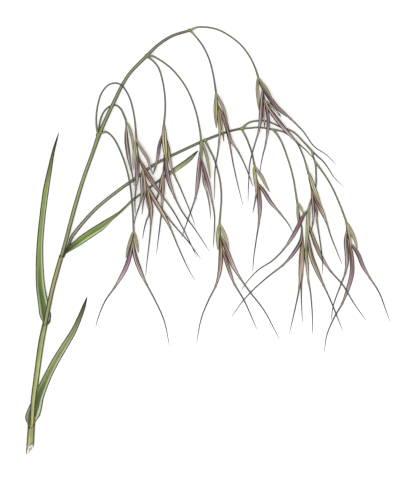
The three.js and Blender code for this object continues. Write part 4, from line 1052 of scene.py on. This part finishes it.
def flowering_stem():
    """The culm with its sheaths, the rachis and the branches of the panicle."""
    form = Form(culm_straw, pedicel_straw, cut_pith, membrane, soft_hair)
    angles = circle(STEM_SIDES)
    line, (widths,) = route(CULM, STEPS)
    for number, (first, last) in enumerate(CULM_TUBES):
        # Each length of stem starts inside the sheath below it
        start = max(0, first * STEPS - INSIDE_SHEATH * (number > 0))
        course = Course(line[start : last * STEPS + 1])
        width = widths[start : last * STEPS + 1].copy()
        width[: first * STEPS - start] = widths[first * STEPS]
        # The tones of this length of stem, with painted light and shade laid across it
        tone = shaded(CULM_TONES[number], CULM_PAINTED_SHADING[number], course.share, np.cos(angles))
        if number < len(SHEATH_COLLARS):
            outer = sheath(form, course, width, tone, SHEATH_COLLARS[number], cut=number == 0)
            hairs_on(form, outer, SHEATH_HAIRS[number], course.along)
        else:
            stalk(form, course, width, STEM_SIDES, tone, culm_straw, CULM_RIBS, STEM_RIB)
        if number:
            mouth = Course(line[(first - 1) * STEPS : last * STEPS + 1])
            ligule(form, mouth, widths[first * STEPS], SHEATH_COLLARS[number - 1])
    cut_face(form, line, widths[0])
    bare_stem(form, RACHIS, RACHIS_TONES, STEM_SIDES, CULM_RIBS)
    for points, stops in zip(PANICLE_BRANCHES, BRANCH_TONES):
        branch(form, points, stops, BRANCH_PROFILE)
    for joint in JOINTS:
        swelling(form, *joint, JOINT_TONE)
    stand_for(form, "flowering_stem")


def side_shoot():
    """The thinner shoot out of the top leaf's axil, with its branches."""
    form = Form(culm_straw, pedicel_straw)
    bare_stem(form, SIDE_SHOOT, SHOOT_TONES, SHOOT_SIDES, SHOOT_RIBS)
    for number, points in enumerate(SIDE_SHOOT_BRANCHES):
        profile = BARE_PROFILE if number == BARE_BRANCHLET else BRANCH_PROFILE
        branch(form, points, SHOOT_BRANCH_TONES, profile)
    for joint in SHOOT_JOINTS:
        swelling(form, *joint, SHOOT_JOINT_TONE)
    stand_for(form, "side_shoot")


# Leaf blades

BLADE_COLUMNS = np.linspace(1, -1, 41)
BLADE_VEINS = 15
VEIN_HEIGHT = 0.045
EDGE_WAVE = 0.18
WAVE_MM = 9
WAVE_LAG = 1.5
BLADE_EDGE = 0.16
BLADE_BODY = 0.34
KEEL = 0.5
KEEL_SPREAD = 0.11
# Where a blade is narrower than this, its relief and thickness shrink with it, down to a share
FULL_RELIEF_WIDTH = 3
LEAST_RELIEF = 0.15
# Over its last span a blade narrows to this share of its width, raised to this power
TIP_SHARE = 0.06
TIP_POWER = 0.6
WRAP_THICKNESS = 0.25
WRAP_TURN = math.radians(165)
# Where each blade wraps its sheath: the radius, how high the stem's middle lies over the blade, and the
# slant of the mouth. Then, for the left half and the right: mm over which it opens out, and mm that its
# lobe droops and widens, most at so many mm from the foot.
BLADE_COLLARS = {
    "leaf_blade_1": {
        "radius": 2.5, "centre": 2, "rise": 4.27, "highest": -69, "lift": 0.7,
        "opening": (4, 8), "droop": (2, 1), "flare": (0.5, 1), "lobe": 4,
    },
    "leaf_blade_2": {
        "radius": 2, "centre": 2.2, "rise": 2.45, "highest": -80, "lift": -0.4,
        "opening": (3.5, 2.5), "droop": (1, 3.5), "flare": (0, 0.6), "lobe": 3.5,
    },
    "leaf_blade_3": {
        "radius": 1.7, "centre": 2, "rise": 1.6, "highest": -62, "lift": -0.4,
        "opening": (4, 5), "droop": (0, 0), "flare": (0, -0.7), "lobe": 5,
    },
}
BLADE_TONES = {
    "leaf_blade_1": [
        (0, "#727c4f"), (0.08, "#5c6c41"), (0.2, "#5c6e40"), (0.3, "#788553"), (0.42, "#95a06b"),
        (0.6, "#a0aa7c"), (0.8, "#959f75"), (0.92, "#767a63"), (1, "#595b50"),
    ],
    "leaf_blade_2": [
        (0, "#88905c"), (0.05, "#71844d"), (0.15, "#687f43"), (0.25, "#788b51"), (0.4, "#95a369"),
        (0.7, "#9ba96f"), (0.82, "#8f9a68"), (0.92, "#7f8366"), (1, "#797a63"),
    ],
    "leaf_blade_3": [
        (0, "#6f7149"), (0.04, "#5f673d"), (0.09, "#697a45"), (0.15, "#869958"), (0.4, "#8b9b5e"),
        (0.55, "#807c61"), (0.7, "#837f67"), (0.78, "#a7ab7a"), (0.84, "#cbd397"), (0.9, "#bec499"),
        (1, "#a6ab8b"),
    ],
}
# Painted light and shade across each blade: a darker midrib groove and edges, and painted highlights on one
# half
BLADE_PAINTED_SHADING = {
    "leaf_blade_1": [(-1, 0.9), (-0.6, 1.1), (-0.3, 0.98), (0, 0.82), (0.3, 0.94), (0.6, 1.1), (1, 0.95)],
    "leaf_blade_2": [
        (-1, 0.72), (-0.5, 1), (-0.2, 1.06), (0.05, 0.88), (0.5, 1.16), (0.8, 0.96), (1, 0.78),
    ],
    "leaf_blade_3": [
        (-1, 0.85), (-0.6, 1), (-0.3, 0.94), (0, 0.8), (0.25, 1), (0.5, 1.3), (0.68, 1.42), (0.85, 1.1),
        (1, 0.8),
    ],
}
# The share over which the painted light and shade at the foot fades out, and those shades: painted shade
# in the midrib's groove and along the stem, and lighter margins
BLADE_FOOT_PAINTED_SHADING = {
    "leaf_blade_1": (
        0.3,
        [
            (-1, 1.1), (-0.7, 1), (-0.3, 0.8), (0, 0.78), (0.25, 0.95), (0.42, 0.75), (0.52, 0.7),
            (0.62, 1.4), (0.8, 1.75), (1, 1.5),
        ],
    ),
    "leaf_blade_2": (
        0.35,
        [
            (-1, 1.4), (-0.72, 1.36), (-0.5, 1.1), (-0.32, 0.55), (-0.1, 0.8), (0.1, 0.86), (0.6, 1.1),
            (1, 1),
        ],
    ),
    "leaf_blade_3": (0.12, [(-1, 1.1), (-0.6, 1.08), (-0.2, 0.8), (0.2, 0.95), (0.6, 1.02), (1, 1.1)]),
}


def leaf_blade(node, rows):
    """A thin blade: ribbed above, keeled below, and wrapped round its sheath's mouth at the foot."""
    form = Form(leaf_tissue)
    line, values = route(rows, STEPS)
    course = Course(line)
    width, trough, roll = (value[:, None] for value in values)
    width[-STEPS:] = width[-STEPS - 1] * np.linspace(1, TIP_SHARE, STEPS)[:, None] ** TIP_POWER
    columns = BLADE_COLUMNS
    slender = np.clip(width / FULL_RELIEF_WIDTH, LEAST_RELIEF, 1)
    ripple = VEIN_HEIGHT * np.cos(np.pi * BLADE_VEINS * (columns + 1))
    wave = EDGE_WAVE * np.sin(course.mm[:, None] / WAVE_MM + columns * WAVE_LAG) * columns**2
    high = trough * columns**2 + (ripple + wave) * slender
    keel = KEEL * np.exp(-((columns / KEEL_SPREAD) ** 2))
    body = BLADE_EDGE + (BLADE_BODY - BLADE_EDGE) * (1 - columns**2) + keel
    collar = BLADE_COLLARS[node]
    opening, droop, flare = (np.where(columns < 0, *collar[key]) for key in ("opening", "droop", "flare"))
    from_lobe = course.mm[:, None] / collar["lobe"]
    lobe = from_lobe * np.exp(1 - from_lobe) * columns
    right = columns * width / 2 + lobe * flare
    wrap = np.clip(1 - course.mm[:, None] / opening, 0, 1)
    turn = columns * WRAP_TURN
    faces = []
    for depth, out in ((0, 0), (body * slender, WRAP_THICKNESS)):
        radius = collar["radius"] + out
        faces.append(
            (
                right * (1 - wrap) + radius * np.sin(turn) * wrap,
                (high - depth) * (1 - wrap) + (collar["centre"] - radius * np.cos(turn)) * wrap,
            )
        )
    ahead = wrap * mouth_slant(collar, turn - math.pi / 2) - np.abs(lobe) * droop
    # The blade's tones, with painted light and shade laid across it
    tone = shaded(BLADE_TONES[node], BLADE_PAINTED_SHADING[node], course.share, columns, BLADE_FOOT_PAINTED_SHADING[node])
    edge = width / 2 * (1 - np.abs(columns))
    shell(form, course, *faces, (columns + 1) / 2, tone, edge, leaf_tissue, np.radians(roll), ahead)
    stand_for(form, node)


# Spikelets

SCALE_STATIONS = 30
CHAFF = 0.16  # thickness of a glume or lemma
RIM_FULL = 1.25  # where a scale is narrower each side than this, its dark rim grows thinner with it
GLUME_COLUMNS = np.linspace(1, -1, 21)
GLUME_SPREAD = 0.2  # mm that its papery margins add to its width
GLUME_LIFT = 1.45  # mm that it rises from its foot
GLUME_RISE = 6  # mm of its course over which it rises
GLUME_ARCH = 0.75
GLUME_STEEPEST = 1.1  # its arch is at most this many times its half width
GLUME_TURN = math.radians(96)
GLUME_SINK = 0.25
GLUME_WALL_SHARE = 0.4
GLUME_NERVES = 4
GLUME_NERVE_HEIGHT = 0.05
GLUME_KEEL_HEIGHT = 0.16
GLUME_KEEL_SHARPNESS = 7
KNOB_WIDTH = 1.7
KNOB_LENGTH = 2.2
KNOB_ROOT = 0.5
KNOB_STATIONS = 12
KNOB_SIDES = 18
KNOB_RIBS = 6
KNOB_RIB = 0.06
KNOB_PROFILE = [(0, 0.66), (0.2, 0.84), (0.45, 1), (0.7, 0.92), (1, 0.6)]
RACHILLA_WIDTH = 1.25
RACHILLA_WAIST = 0.4
RACHILLA_SIDES = 12
RACHILLA_RIBS = 4
RACHILLA_RIB = 0.05
LEMMA_COLUMNS = np.linspace(1, -1, 33)
LEMMA_WIDTH = 3.15
LEMMA_THICKNESS = 1.3
LEMMA_FULLNESS = 1.2  # a lemma reaches its full thickness sooner than its width
LEMMA_WALL_SHARE = 0.35
# A lemma turns its back outwards, by at most so much, and fully where it lies so many mm out
LEMMA_FACING = math.radians(55)
LEMMA_FACING_MM = 2.5
# The painted light and shade across a lemma is laid round it this far to each side
LEMMA_SWEEP = math.radians(130)  # how far round to each side its shades are laid
LEMMA_NERVES = 6
LEMMA_NERVE_HEIGHT = 0.05
LEMMA_KEEL_HEIGHT = 0.1
LEMMA_KEEL_SHARPNESS = 9
PALEA_STATIONS = slice(2, 25)
PALEA_COLUMNS = np.linspace(1, -1, 9)
PALEA_PLACE = 0.62
PALEA_THICKNESS = 0.12
PALEA_FOLD = 0.12
TOOTH_LENGTH = 2.2
TOOTH_SPREAD = 0.35
TOOTH_INSET = 0.6
TOOTH_FLATNESS = 0.4
TOOTH_SIDES = 8
TOOTH_STATIONS = 7
TOOTH_PROFILE = [(0, 0.42), (0.5, 0.3), (1, 0.04)]
AWN_WIDTH = 0.78
LEAST_LEMMA = 0.55 * AWN_WIDTH  # each side
AWN_ROOT = 0.93  # it starts inside the lemma, at this share of the way to its tip
AWN_STATIONS = 48
AWN_SIDES = 8
AWN_PROFILE = [(0, 1.4), (0.15, 1.2), (0.35, 0.97), (0.6, 0.81), (0.8, 0.62), (0.92, 0.46), (1, 0.24)]
# Barbs are larger and further apart than the real ones, which are too fine to show
BARB_STEP_MM = 1.1
BARB_LENGTH = 0.42
BARB_THICKNESS = 0.14
BARB_LEAN = 0.35
BARB_TURN = 3
GLUME_OUTLINE = [
    (0, 0.4), (0.1, 0.66), (0.2, 0.84), (0.33, 0.96), (0.45, 1), (0.6, 0.9), (0.8, 0.66), (0.92, 0.42),
    (1, 0.16),
]
LEMMA_OUTLINE = [
    (0, 0.4), (0.08, 0.58), (0.15, 0.74), (0.3, 0.93), (0.45, 1), (0.6, 0.96), (0.75, 0.84), (0.9, 0.6),
    (1, 0.4),
]
LEMMA_GAPE = [(0, 176), (0.15, 160), (0.5, 132), (0.85, 140), (1, 172)]

# Tones along glumes and lemmas: the places, and the tones there by kind. Then the painted light and shade
# across them: pale painted highlight bands, and darker keels and sides.
GLUME_STOPS = (0, 0.15, 0.45, 0.75, 0.92, 1)
GLUME_TONES = {
    "olive": ("#a59b6c", "#b3a87d", "#bab187", "#c8bd9b", "#afa58c", "#9e9485"),
    "green": ("#999e64", "#abad74", "#b1b582", "#c0bd96", "#aba584", "#9b957a"),
    "rose": ("#ac9e76", "#bea98a", "#c8ad96", "#ceb1a6", "#b59b96", "#a08885"),
    "tan": ("#ada171", "#c0ae7f", "#cbb78b", "#d3bb9a", "#baa28b", "#a28c7c"),
    "mauve": ("#a0926f", "#a28c7c", "#a48c85", "#b19995", "#a08a87", "#877475"),
}
GLUME_PAINTED_SHADING = [
    (-1, 0.7), (-0.7, 1.14), (-0.45, 1.18), (-0.2, 0.82), (0.02, 0.5), (0.25, 0.86), (0.55, 1.34),
    (0.8, 1.12), (1, 0.68),
]
LEMMA_STOPS = (0, 0.12, 0.32, 0.48, 0.62, 0.78, 0.92, 1)
LEMMA_TONES = {
    "purple": ("#a49a6a", "#947e61", "#86686c", "#8d6f73", "#a89094", "#d5c5c3", "#cabeb8", "#9b928c"),
    "dusk": ("#9c9167", "#8d755f", "#7c5d69", "#816370", "#9a838a", "#c4b4b5", "#bfb2af", "#918985"),
    "mauve": ("#b7ab68", "#ac9462", "#a18475", "#a88a83", "#c1a99f", "#e6d9ca", "#d7cebd", "#a49c8e"),
    "tan": ("#a89e6b", "#a19366", "#9b866a", "#9f8a73", "#b5a390", "#d7cbb6", "#cbc1b1", "#9a9385"),
    "rust": ("#9f8d5e", "#997f5c", "#917158", "#957560", "#ab927f", "#cdbba9", "#c3b7a9", "#979087"),
    "olive": ("#a3a14c", "#a59f54", "#a09758", "#a39763", "#baaf7f", "#d7cfa7", "#cac4a2", "#9d987f"),
}
LEMMA_PAINTED_SHADING = [
    (-1, 0.66), (-0.7, 0.94), (-0.45, 1.4), (-0.2, 0.92), (0.05, 0.56), (0.25, 0.86), (0.45, 1.34),
    (0.65, 1), (0.8, 0.7), (1, 0.56),
]
PALEA_TONE = [(0, "#b9b888"), (0.6, "#cfc6a4"), (1, "#c9b8a6")]
TOOTH_TONE = [(0, "#c9b3aa"), (1, "#e0d5c8")]
AWN_TONE = [
    (0, "#b9a998"), (0.15, "#afa192"), (0.35, "#998d81"), (0.6, "#7f766c"), (0.85, "#7d776c"),
    (1, "#8f8b7c"),
]
KNOB_TONE = [(0, "#98985e"), (0.5, "#a8a868"), (1, "#a0a062")]
RACHILLA_TONE = [(0, "#a0a062"), (1, "#9a8f6a")]
# How light a scale is beside the others of its kind, and each spikelet's glumes and lemmas
DEEP, DIM, EVEN, PALE, FADED = 0.8, 0.9, 1, 1.1, 1.2
GLUME_KINDS = [
    [("olive", PALE)],
    [("olive", FADED), ("mauve", FADED)],
    [("olive", DEEP)],
    [("olive", DEEP), ("olive", EVEN)],
    [("green", DIM), ("rose", EVEN)],
    [("olive", EVEN), ("olive", DIM)],
    [("olive", FADED), ("rose", PALE)],
    [("olive", EVEN), ("olive", FADED)],
    [("olive", EVEN)],
    [("green", EVEN)],
    [("olive", PALE), ("olive", FADED)],
    [("olive", EVEN), ("olive", EVEN)],
    [("green", PALE), ("tan", FADED)],
]
LEMMA_KINDS = [
    [("purple", DEEP)],
    [
        ("purple", DIM), ("rust", DIM), ("dusk", DIM), ("rust", DIM), ("tan", EVEN), ("tan", DIM),
        ("tan", FADED), ("olive", FADED),
    ],
    [("dusk", PALE), ("olive", PALE), ("dusk", EVEN), ("rust", EVEN), ("tan", FADED)],
    [("dusk", EVEN), ("purple", EVEN), ("mauve", PALE)],
    [("olive", EVEN), ("tan", EVEN), ("purple", EVEN), ("mauve", EVEN)],
    [("dusk", DIM), ("tan", FADED), ("dusk", DEEP), ("tan", PALE), ("dusk", EVEN), ("purple", DIM)],
    [("dusk", PALE), ("purple", PALE), ("tan", PALE)],
    [("purple", DEEP), ("tan", EVEN), ("tan", FADED)],
    [("rust", EVEN), ("purple", DEEP), ("rust", EVEN)],
    [("dusk", PALE), ("olive", FADED), ("tan", DIM), ("tan", EVEN)],
    [("purple", DIM), ("dusk", PALE), ("dusk", PALE)],
    [("dusk", PALE), ("purple", EVEN)],
    [("rust", EVEN), ("rust", PALE), ("purple", PALE)],
]


def outline_reach(half, turn):
    """How many mm each place of a scale lies inside its outline."""
    return np.maximum(half, RIM_FULL) * (1 - np.abs(np.sin(turn)))


def glume(form, foot, kind, light, course, drop, width):
    """A boat-shaped glume, keeled along its back, with its nerves raised a little."""
    points = np.array([foot[:2], *course], float)
    lengths = running_lengths(points)
    heights = foot[2] + GLUME_LIFT * np.minimum(1, lengths / GLUME_RISE) - drop * lengths / lengths[-1]
    shares = evenly(SCALE_STATIONS)
    course = spaced(np.column_stack([points, heights]), shares)
    half = (width + GLUME_SPREAD) * read(GLUME_OUTLINE, shares)[:, None] / 2
    slender = np.minimum(1, half)
    arch = np.minimum(GLUME_ARCH, half * GLUME_STEEPEST)
    lean = GLUME_COLUMNS
    turn = lean * GLUME_TURN
    nerve = GLUME_NERVE_HEIGHT * np.cos(np.pi * GLUME_NERVES * (lean + 1)) * slender
    keel = GLUME_KEEL_HEIGHT * np.exp(-((lean * GLUME_KEEL_SHARPNESS) ** 2)) * slender
    outer = half * np.sin(turn), arch * np.cos(turn) + keel + nerve - GLUME_SINK
    wall = np.minimum(CHAFF, half * GLUME_WALL_SHARE)
    inner = (half - wall) * np.sin(turn), (arch - wall) * np.cos(turn) - GLUME_SINK
    stops = list(zip(GLUME_STOPS, GLUME_TONES[kind]))
    # The glume's tones, with painted highlight bands and a painted dark keel and sides laid across it
    tone = shaded(stops, GLUME_PAINTED_SHADING, shares, np.sin(turn)) * light**EYE_POWER
    shell(form, course, outer, inner, (lean + 1) / 2, tone, outline_reach(half, turn), glume_chaff)


def glumes(number, spikelet):
    """The knob at a spikelet's foot, with its glumes."""
    form = Form(glume_chaff, pedicel_straw)
    foot = np.array(spikelet["foot"], float)
    along = unit(np.array(spikelet["rachilla"][0]) - foot)
    shares = evenly(KNOB_STATIONS)
    course = Course(foot + along * (shares[:, None] * (KNOB_LENGTH + KNOB_ROOT) - KNOB_ROOT))
    widths = KNOB_WIDTH * read(KNOB_PROFILE, shares)
    stalk(form, course, widths, KNOB_SIDES, tones(KNOB_TONE, shares), pedicel_straw, KNOB_RIBS, KNOB_RIB)
    for one, (kind, light) in zip(spikelet["glumes"], GLUME_KINDS[number]):
        glume(form, spikelet["foot"], kind, light, *one)
    stand_for(form, spikelet_name(number) + "_glumes")


def lemma_and_awn(form, root, axis, kind, light, lemma, awn, z, width=LEMMA_WIDTH):
    """One floret: a rolled lemma that opens inwards over its palea, two small teeth, and a barbed awn."""
    points = np.array([root[:2], *lemma, *awn], float)
    lengths = running_lengths(points)
    to_tip = lengths[len(lemma)]
    heights = np.interp(lengths, [0, to_tip, lengths[-1]], [root[2], *z])
    tip_share = to_tip / lengths[-1]
    route_points = np.column_stack([points, heights])
    shares = evenly(SCALE_STATIONS)
    course = spaced(route_points, shares * tip_share)
    of_width = read(LEMMA_OUTLINE, shares)[:, None]
    half = np.maximum(LEAST_LEMMA, width * of_width / 2)
    thick = np.maximum(LEAST_LEMMA, LEMMA_THICKNESS * np.minimum(1, of_width * LEMMA_FULLNESS) / 2)
    middle = SCALE_STATIONS // 2
    outward = float(np.dot(course.line[middle] - axis, course.side[middle]))
    facing = LEMMA_FACING * math.tanh(outward / LEMMA_FACING_MM)
    gape = np.radians(read(LEMMA_GAPE, shares))[:, None]
    lean = LEMMA_COLUMNS
    turn = facing + gape * lean
    nerve = 1 + LEMMA_NERVE_HEIGHT * np.cos(np.pi * LEMMA_NERVES * (lean + 1))
    nerve = nerve + LEMMA_KEEL_HEIGHT * np.exp(-((lean * LEMMA_KEEL_SHARPNESS) ** 2))
    outer = half * np.sin(turn) * nerve, thick * np.cos(turn) * nerve
    wall = np.minimum(CHAFF, thick * LEMMA_WALL_SHARE)
    inner = (half - wall) * np.sin(turn), (thick - wall) * np.cos(turn)
    # The painted light and shade across a lemma follows the side of its axis that the floret lies on
    side = 1 if outward > 0 else -1
    place = side * np.sin(facing + LEMMA_SWEEP * lean)
    stops = list(zip(LEMMA_STOPS, LEMMA_TONES[kind]))
    tone = shaded(stops, LEMMA_PAINTED_SHADING, shares, place) * light**EYE_POWER
    shell(form, course, outer, inner, (lean + 1) / 2, tone, outline_reach(half, turn), lemma_chaff)
    part = PALEA_STATIONS
    palea(form, Course(course.line[part]), half[part], thick[part], facing)
    teeth(form, course, half)
    awn_of(form, route_points, tip_share)


def palea(form, course, half, thick, facing):
    """The thin inner scale that closes the lemma's open side, folded along two keels."""
    place = PALEA_COLUMNS
    bow = PALEA_FOLD * np.abs(np.abs(place) - 0.5) * 2
    right = place * PALEA_PLACE
    cos, sin = math.cos(facing), math.sin(facing)
    faces = []
    for depth in (0, PALEA_THICKNESS):
        high = -PALEA_PLACE - depth + bow
        faces.append((half * (right * cos + high * sin), thick * (high * cos - right * sin)))
    edge = half * (1 - np.abs(place))
    shell(form, course, *faces, (place + 1) / 2, tones(PALEA_TONE, course.share), edge, membrane)


def teeth(form, course, half):
    """The two papery points between which the awn leaves the lemma."""
    end, along, side = course.line[-1], course.along[-1], course.side[-1]
    angles = circle(TOOTH_SIDES)
    shares = evenly(TOOTH_STATIONS)
    wide = read(TOOTH_PROFILE, shares)[:, None] / 2
    for way in (-1, 1):
        start = end - along * TOOTH_LENGTH + side * way * half[-1, 0] * TOOTH_INSET
        tip = end + along * TOOTH_LENGTH + side * way * (half[-1, 0] + TOOTH_SPREAD)
        tooth = Course(start + (tip - start) * shares[:, None])
        rings = tooth.place(wide * np.cos(angles), wide * TOOTH_FLATNESS * np.sin(angles))
        form.sweep(rings, tooth, tones(TOOTH_TONE, shares), wide * (1 - np.abs(np.cos(angles))), membrane)


def awn_of(form, points, tip_share):
    """A stiff bristle with barbs that point towards its tip."""
    start = tip_share * AWN_ROOT
    course = spaced(points, start + evenly(AWN_STATIONS) * (1 - start))
    widths = read(AWN_PROFILE, course.share)
    tone = tones(AWN_TONE, course.share)
    rings = stalk(form, course, widths, AWN_SIDES, tone, awn_bristle)
    number = int(course.mm[-1] / BARB_STEP_MM)
    last = AWN_STATIONS - 1
    i = np.clip((evenly(number + 2)[1:-1] * last).astype(int), 1, last - 1)
    j = (np.arange(number) * BARB_TURN) % AWN_SIDES
    out = unit(rings[i, j] - course.line[i])
    roots = rings[i, j] - out * HAIR_ROOT
    ways = course.along[i] + out * BARB_LEAN
    form.bristles(roots, ways, BARB_LENGTH, BARB_THICKNESS, out * 0, tone[i], awn_bristle)


def florets(number, spikelet):
    """The jointed axis of a spikelet, with its florets."""
    form = Form(lemma_chaff, membrane, awn_bristle, pedicel_straw)
    rachilla = spikelet["rachilla"]
    line, _ = route([spikelet["foot"], *rachilla], BRANCH_STEPS)
    course = Course(line)
    beat = np.abs(np.sin(np.arange(len(line)) / BRANCH_STEPS * np.pi))
    widths = RACHILLA_WIDTH - RACHILLA_WAIST * beat
    tone = tones(RACHILLA_TONE, course.share)
    stalk(form, course, widths, RACHILLA_SIDES, tone, pedicel_straw, RACHILLA_RIBS, RACHILLA_RIB)
    for (at, *details), (kind, light) in zip(spikelet["florets"], LEMMA_KINDS[number]):
        lemma_and_awn(form, rachilla[at], course.line[-1], kind, light, *details)
    stand_for(form, spikelet_name(number) + "_florets")


def spikelet_name(number):
    return f"spikelet_{number + 1:02d}"


flowering_stem()
side_shoot()
for node, rows in BLADES.items():
    leaf_blade(node, rows)
for number, spikelet in enumerate(SPIKELETS):
    glumes(number, spikelet)
    florets(number, spikelet)


# Floor and light

FLOOR_REACH = 40  # metres each way
GRAIN_SCALE = 900.0  # to the metre, some 1 mm from grain to grain, coarser than real paper
GRAIN_DETAIL = 2.0
GRAIN_RELIEF = 0.02
GRAIN_STRENGTH = 0.1
PAPER_ROUGHNESS = 0.9
PAPER_GLOSS = 0.1
SKY_STRENGTH = 0.75
SUN_STRENGTH = 2
SUN_SIZE = 20
SUN_TILT = (3, -3)

# Matt white paper on the studio floor: a fine grain, almost without gloss
floor_paper, tree = blank_material("studio_floor_matt")
place = add_node(tree, "TexCoord").outputs["Object"]
noise = {"Vector": place, "Scale": GRAIN_SCALE, "Detail": GRAIN_DETAIL}
grain = add_node(tree, "TexNoise", noise).outputs["Fac"]
relief = {"Height": grain, "Strength": GRAIN_STRENGTH, "Distance": GRAIN_RELIEF * MM}
bump = add_node(tree, "Bump", relief).outputs[0]
shader = add_node(
    tree,
    "BsdfPrincipled",
    {
        "Base Color": linear("#f8f8f7"),
        "Roughness": PAPER_ROUGHNESS,
        "Specular IOR Level": PAPER_GLOSS,
        "Normal": bump,
    },
)
add_node(tree, "OutputMaterial", {"Surface": shader.outputs[0]})

corners = [(x * FLOOR_REACH, y * FLOOR_REACH, 0) for x, y in ((-1, -1), (1, -1), (1, 1), (-1, 1))]
floor_mesh = bpy.data.meshes.new("floor")
floor_mesh.from_pydata(corners, [], [(0, 1, 2, 3)])
floor_mesh.materials.append(floor_paper)
floor = bpy.data.objects.new("floor", floor_mesh)
bpy.context.scene.collection.objects.link(floor)

sun = bpy.data.lights.new("large_soft_lamp", "SUN")
sun.energy = SUN_STRENGTH
sun.angle = math.radians(SUN_SIZE)
lamp = bpy.data.objects.new("large_soft_lamp", sun)
lamp.rotation_euler = (math.radians(SUN_TILT[0]), math.radians(SUN_TILT[1]), 0)
bpy.context.scene.collection.objects.link(lamp)

world = bpy.data.worlds.new("studio")
world.use_nodes = True
background = world.node_tree.nodes["Background"]
background.inputs["Color"].default_value = (1, 1, 1, 1)
background.inputs["Strength"].default_value = SKY_STRENGTH
bpy.context.scene.world = world
bpy.context.scene.view_settings.view_transform = "Standard"
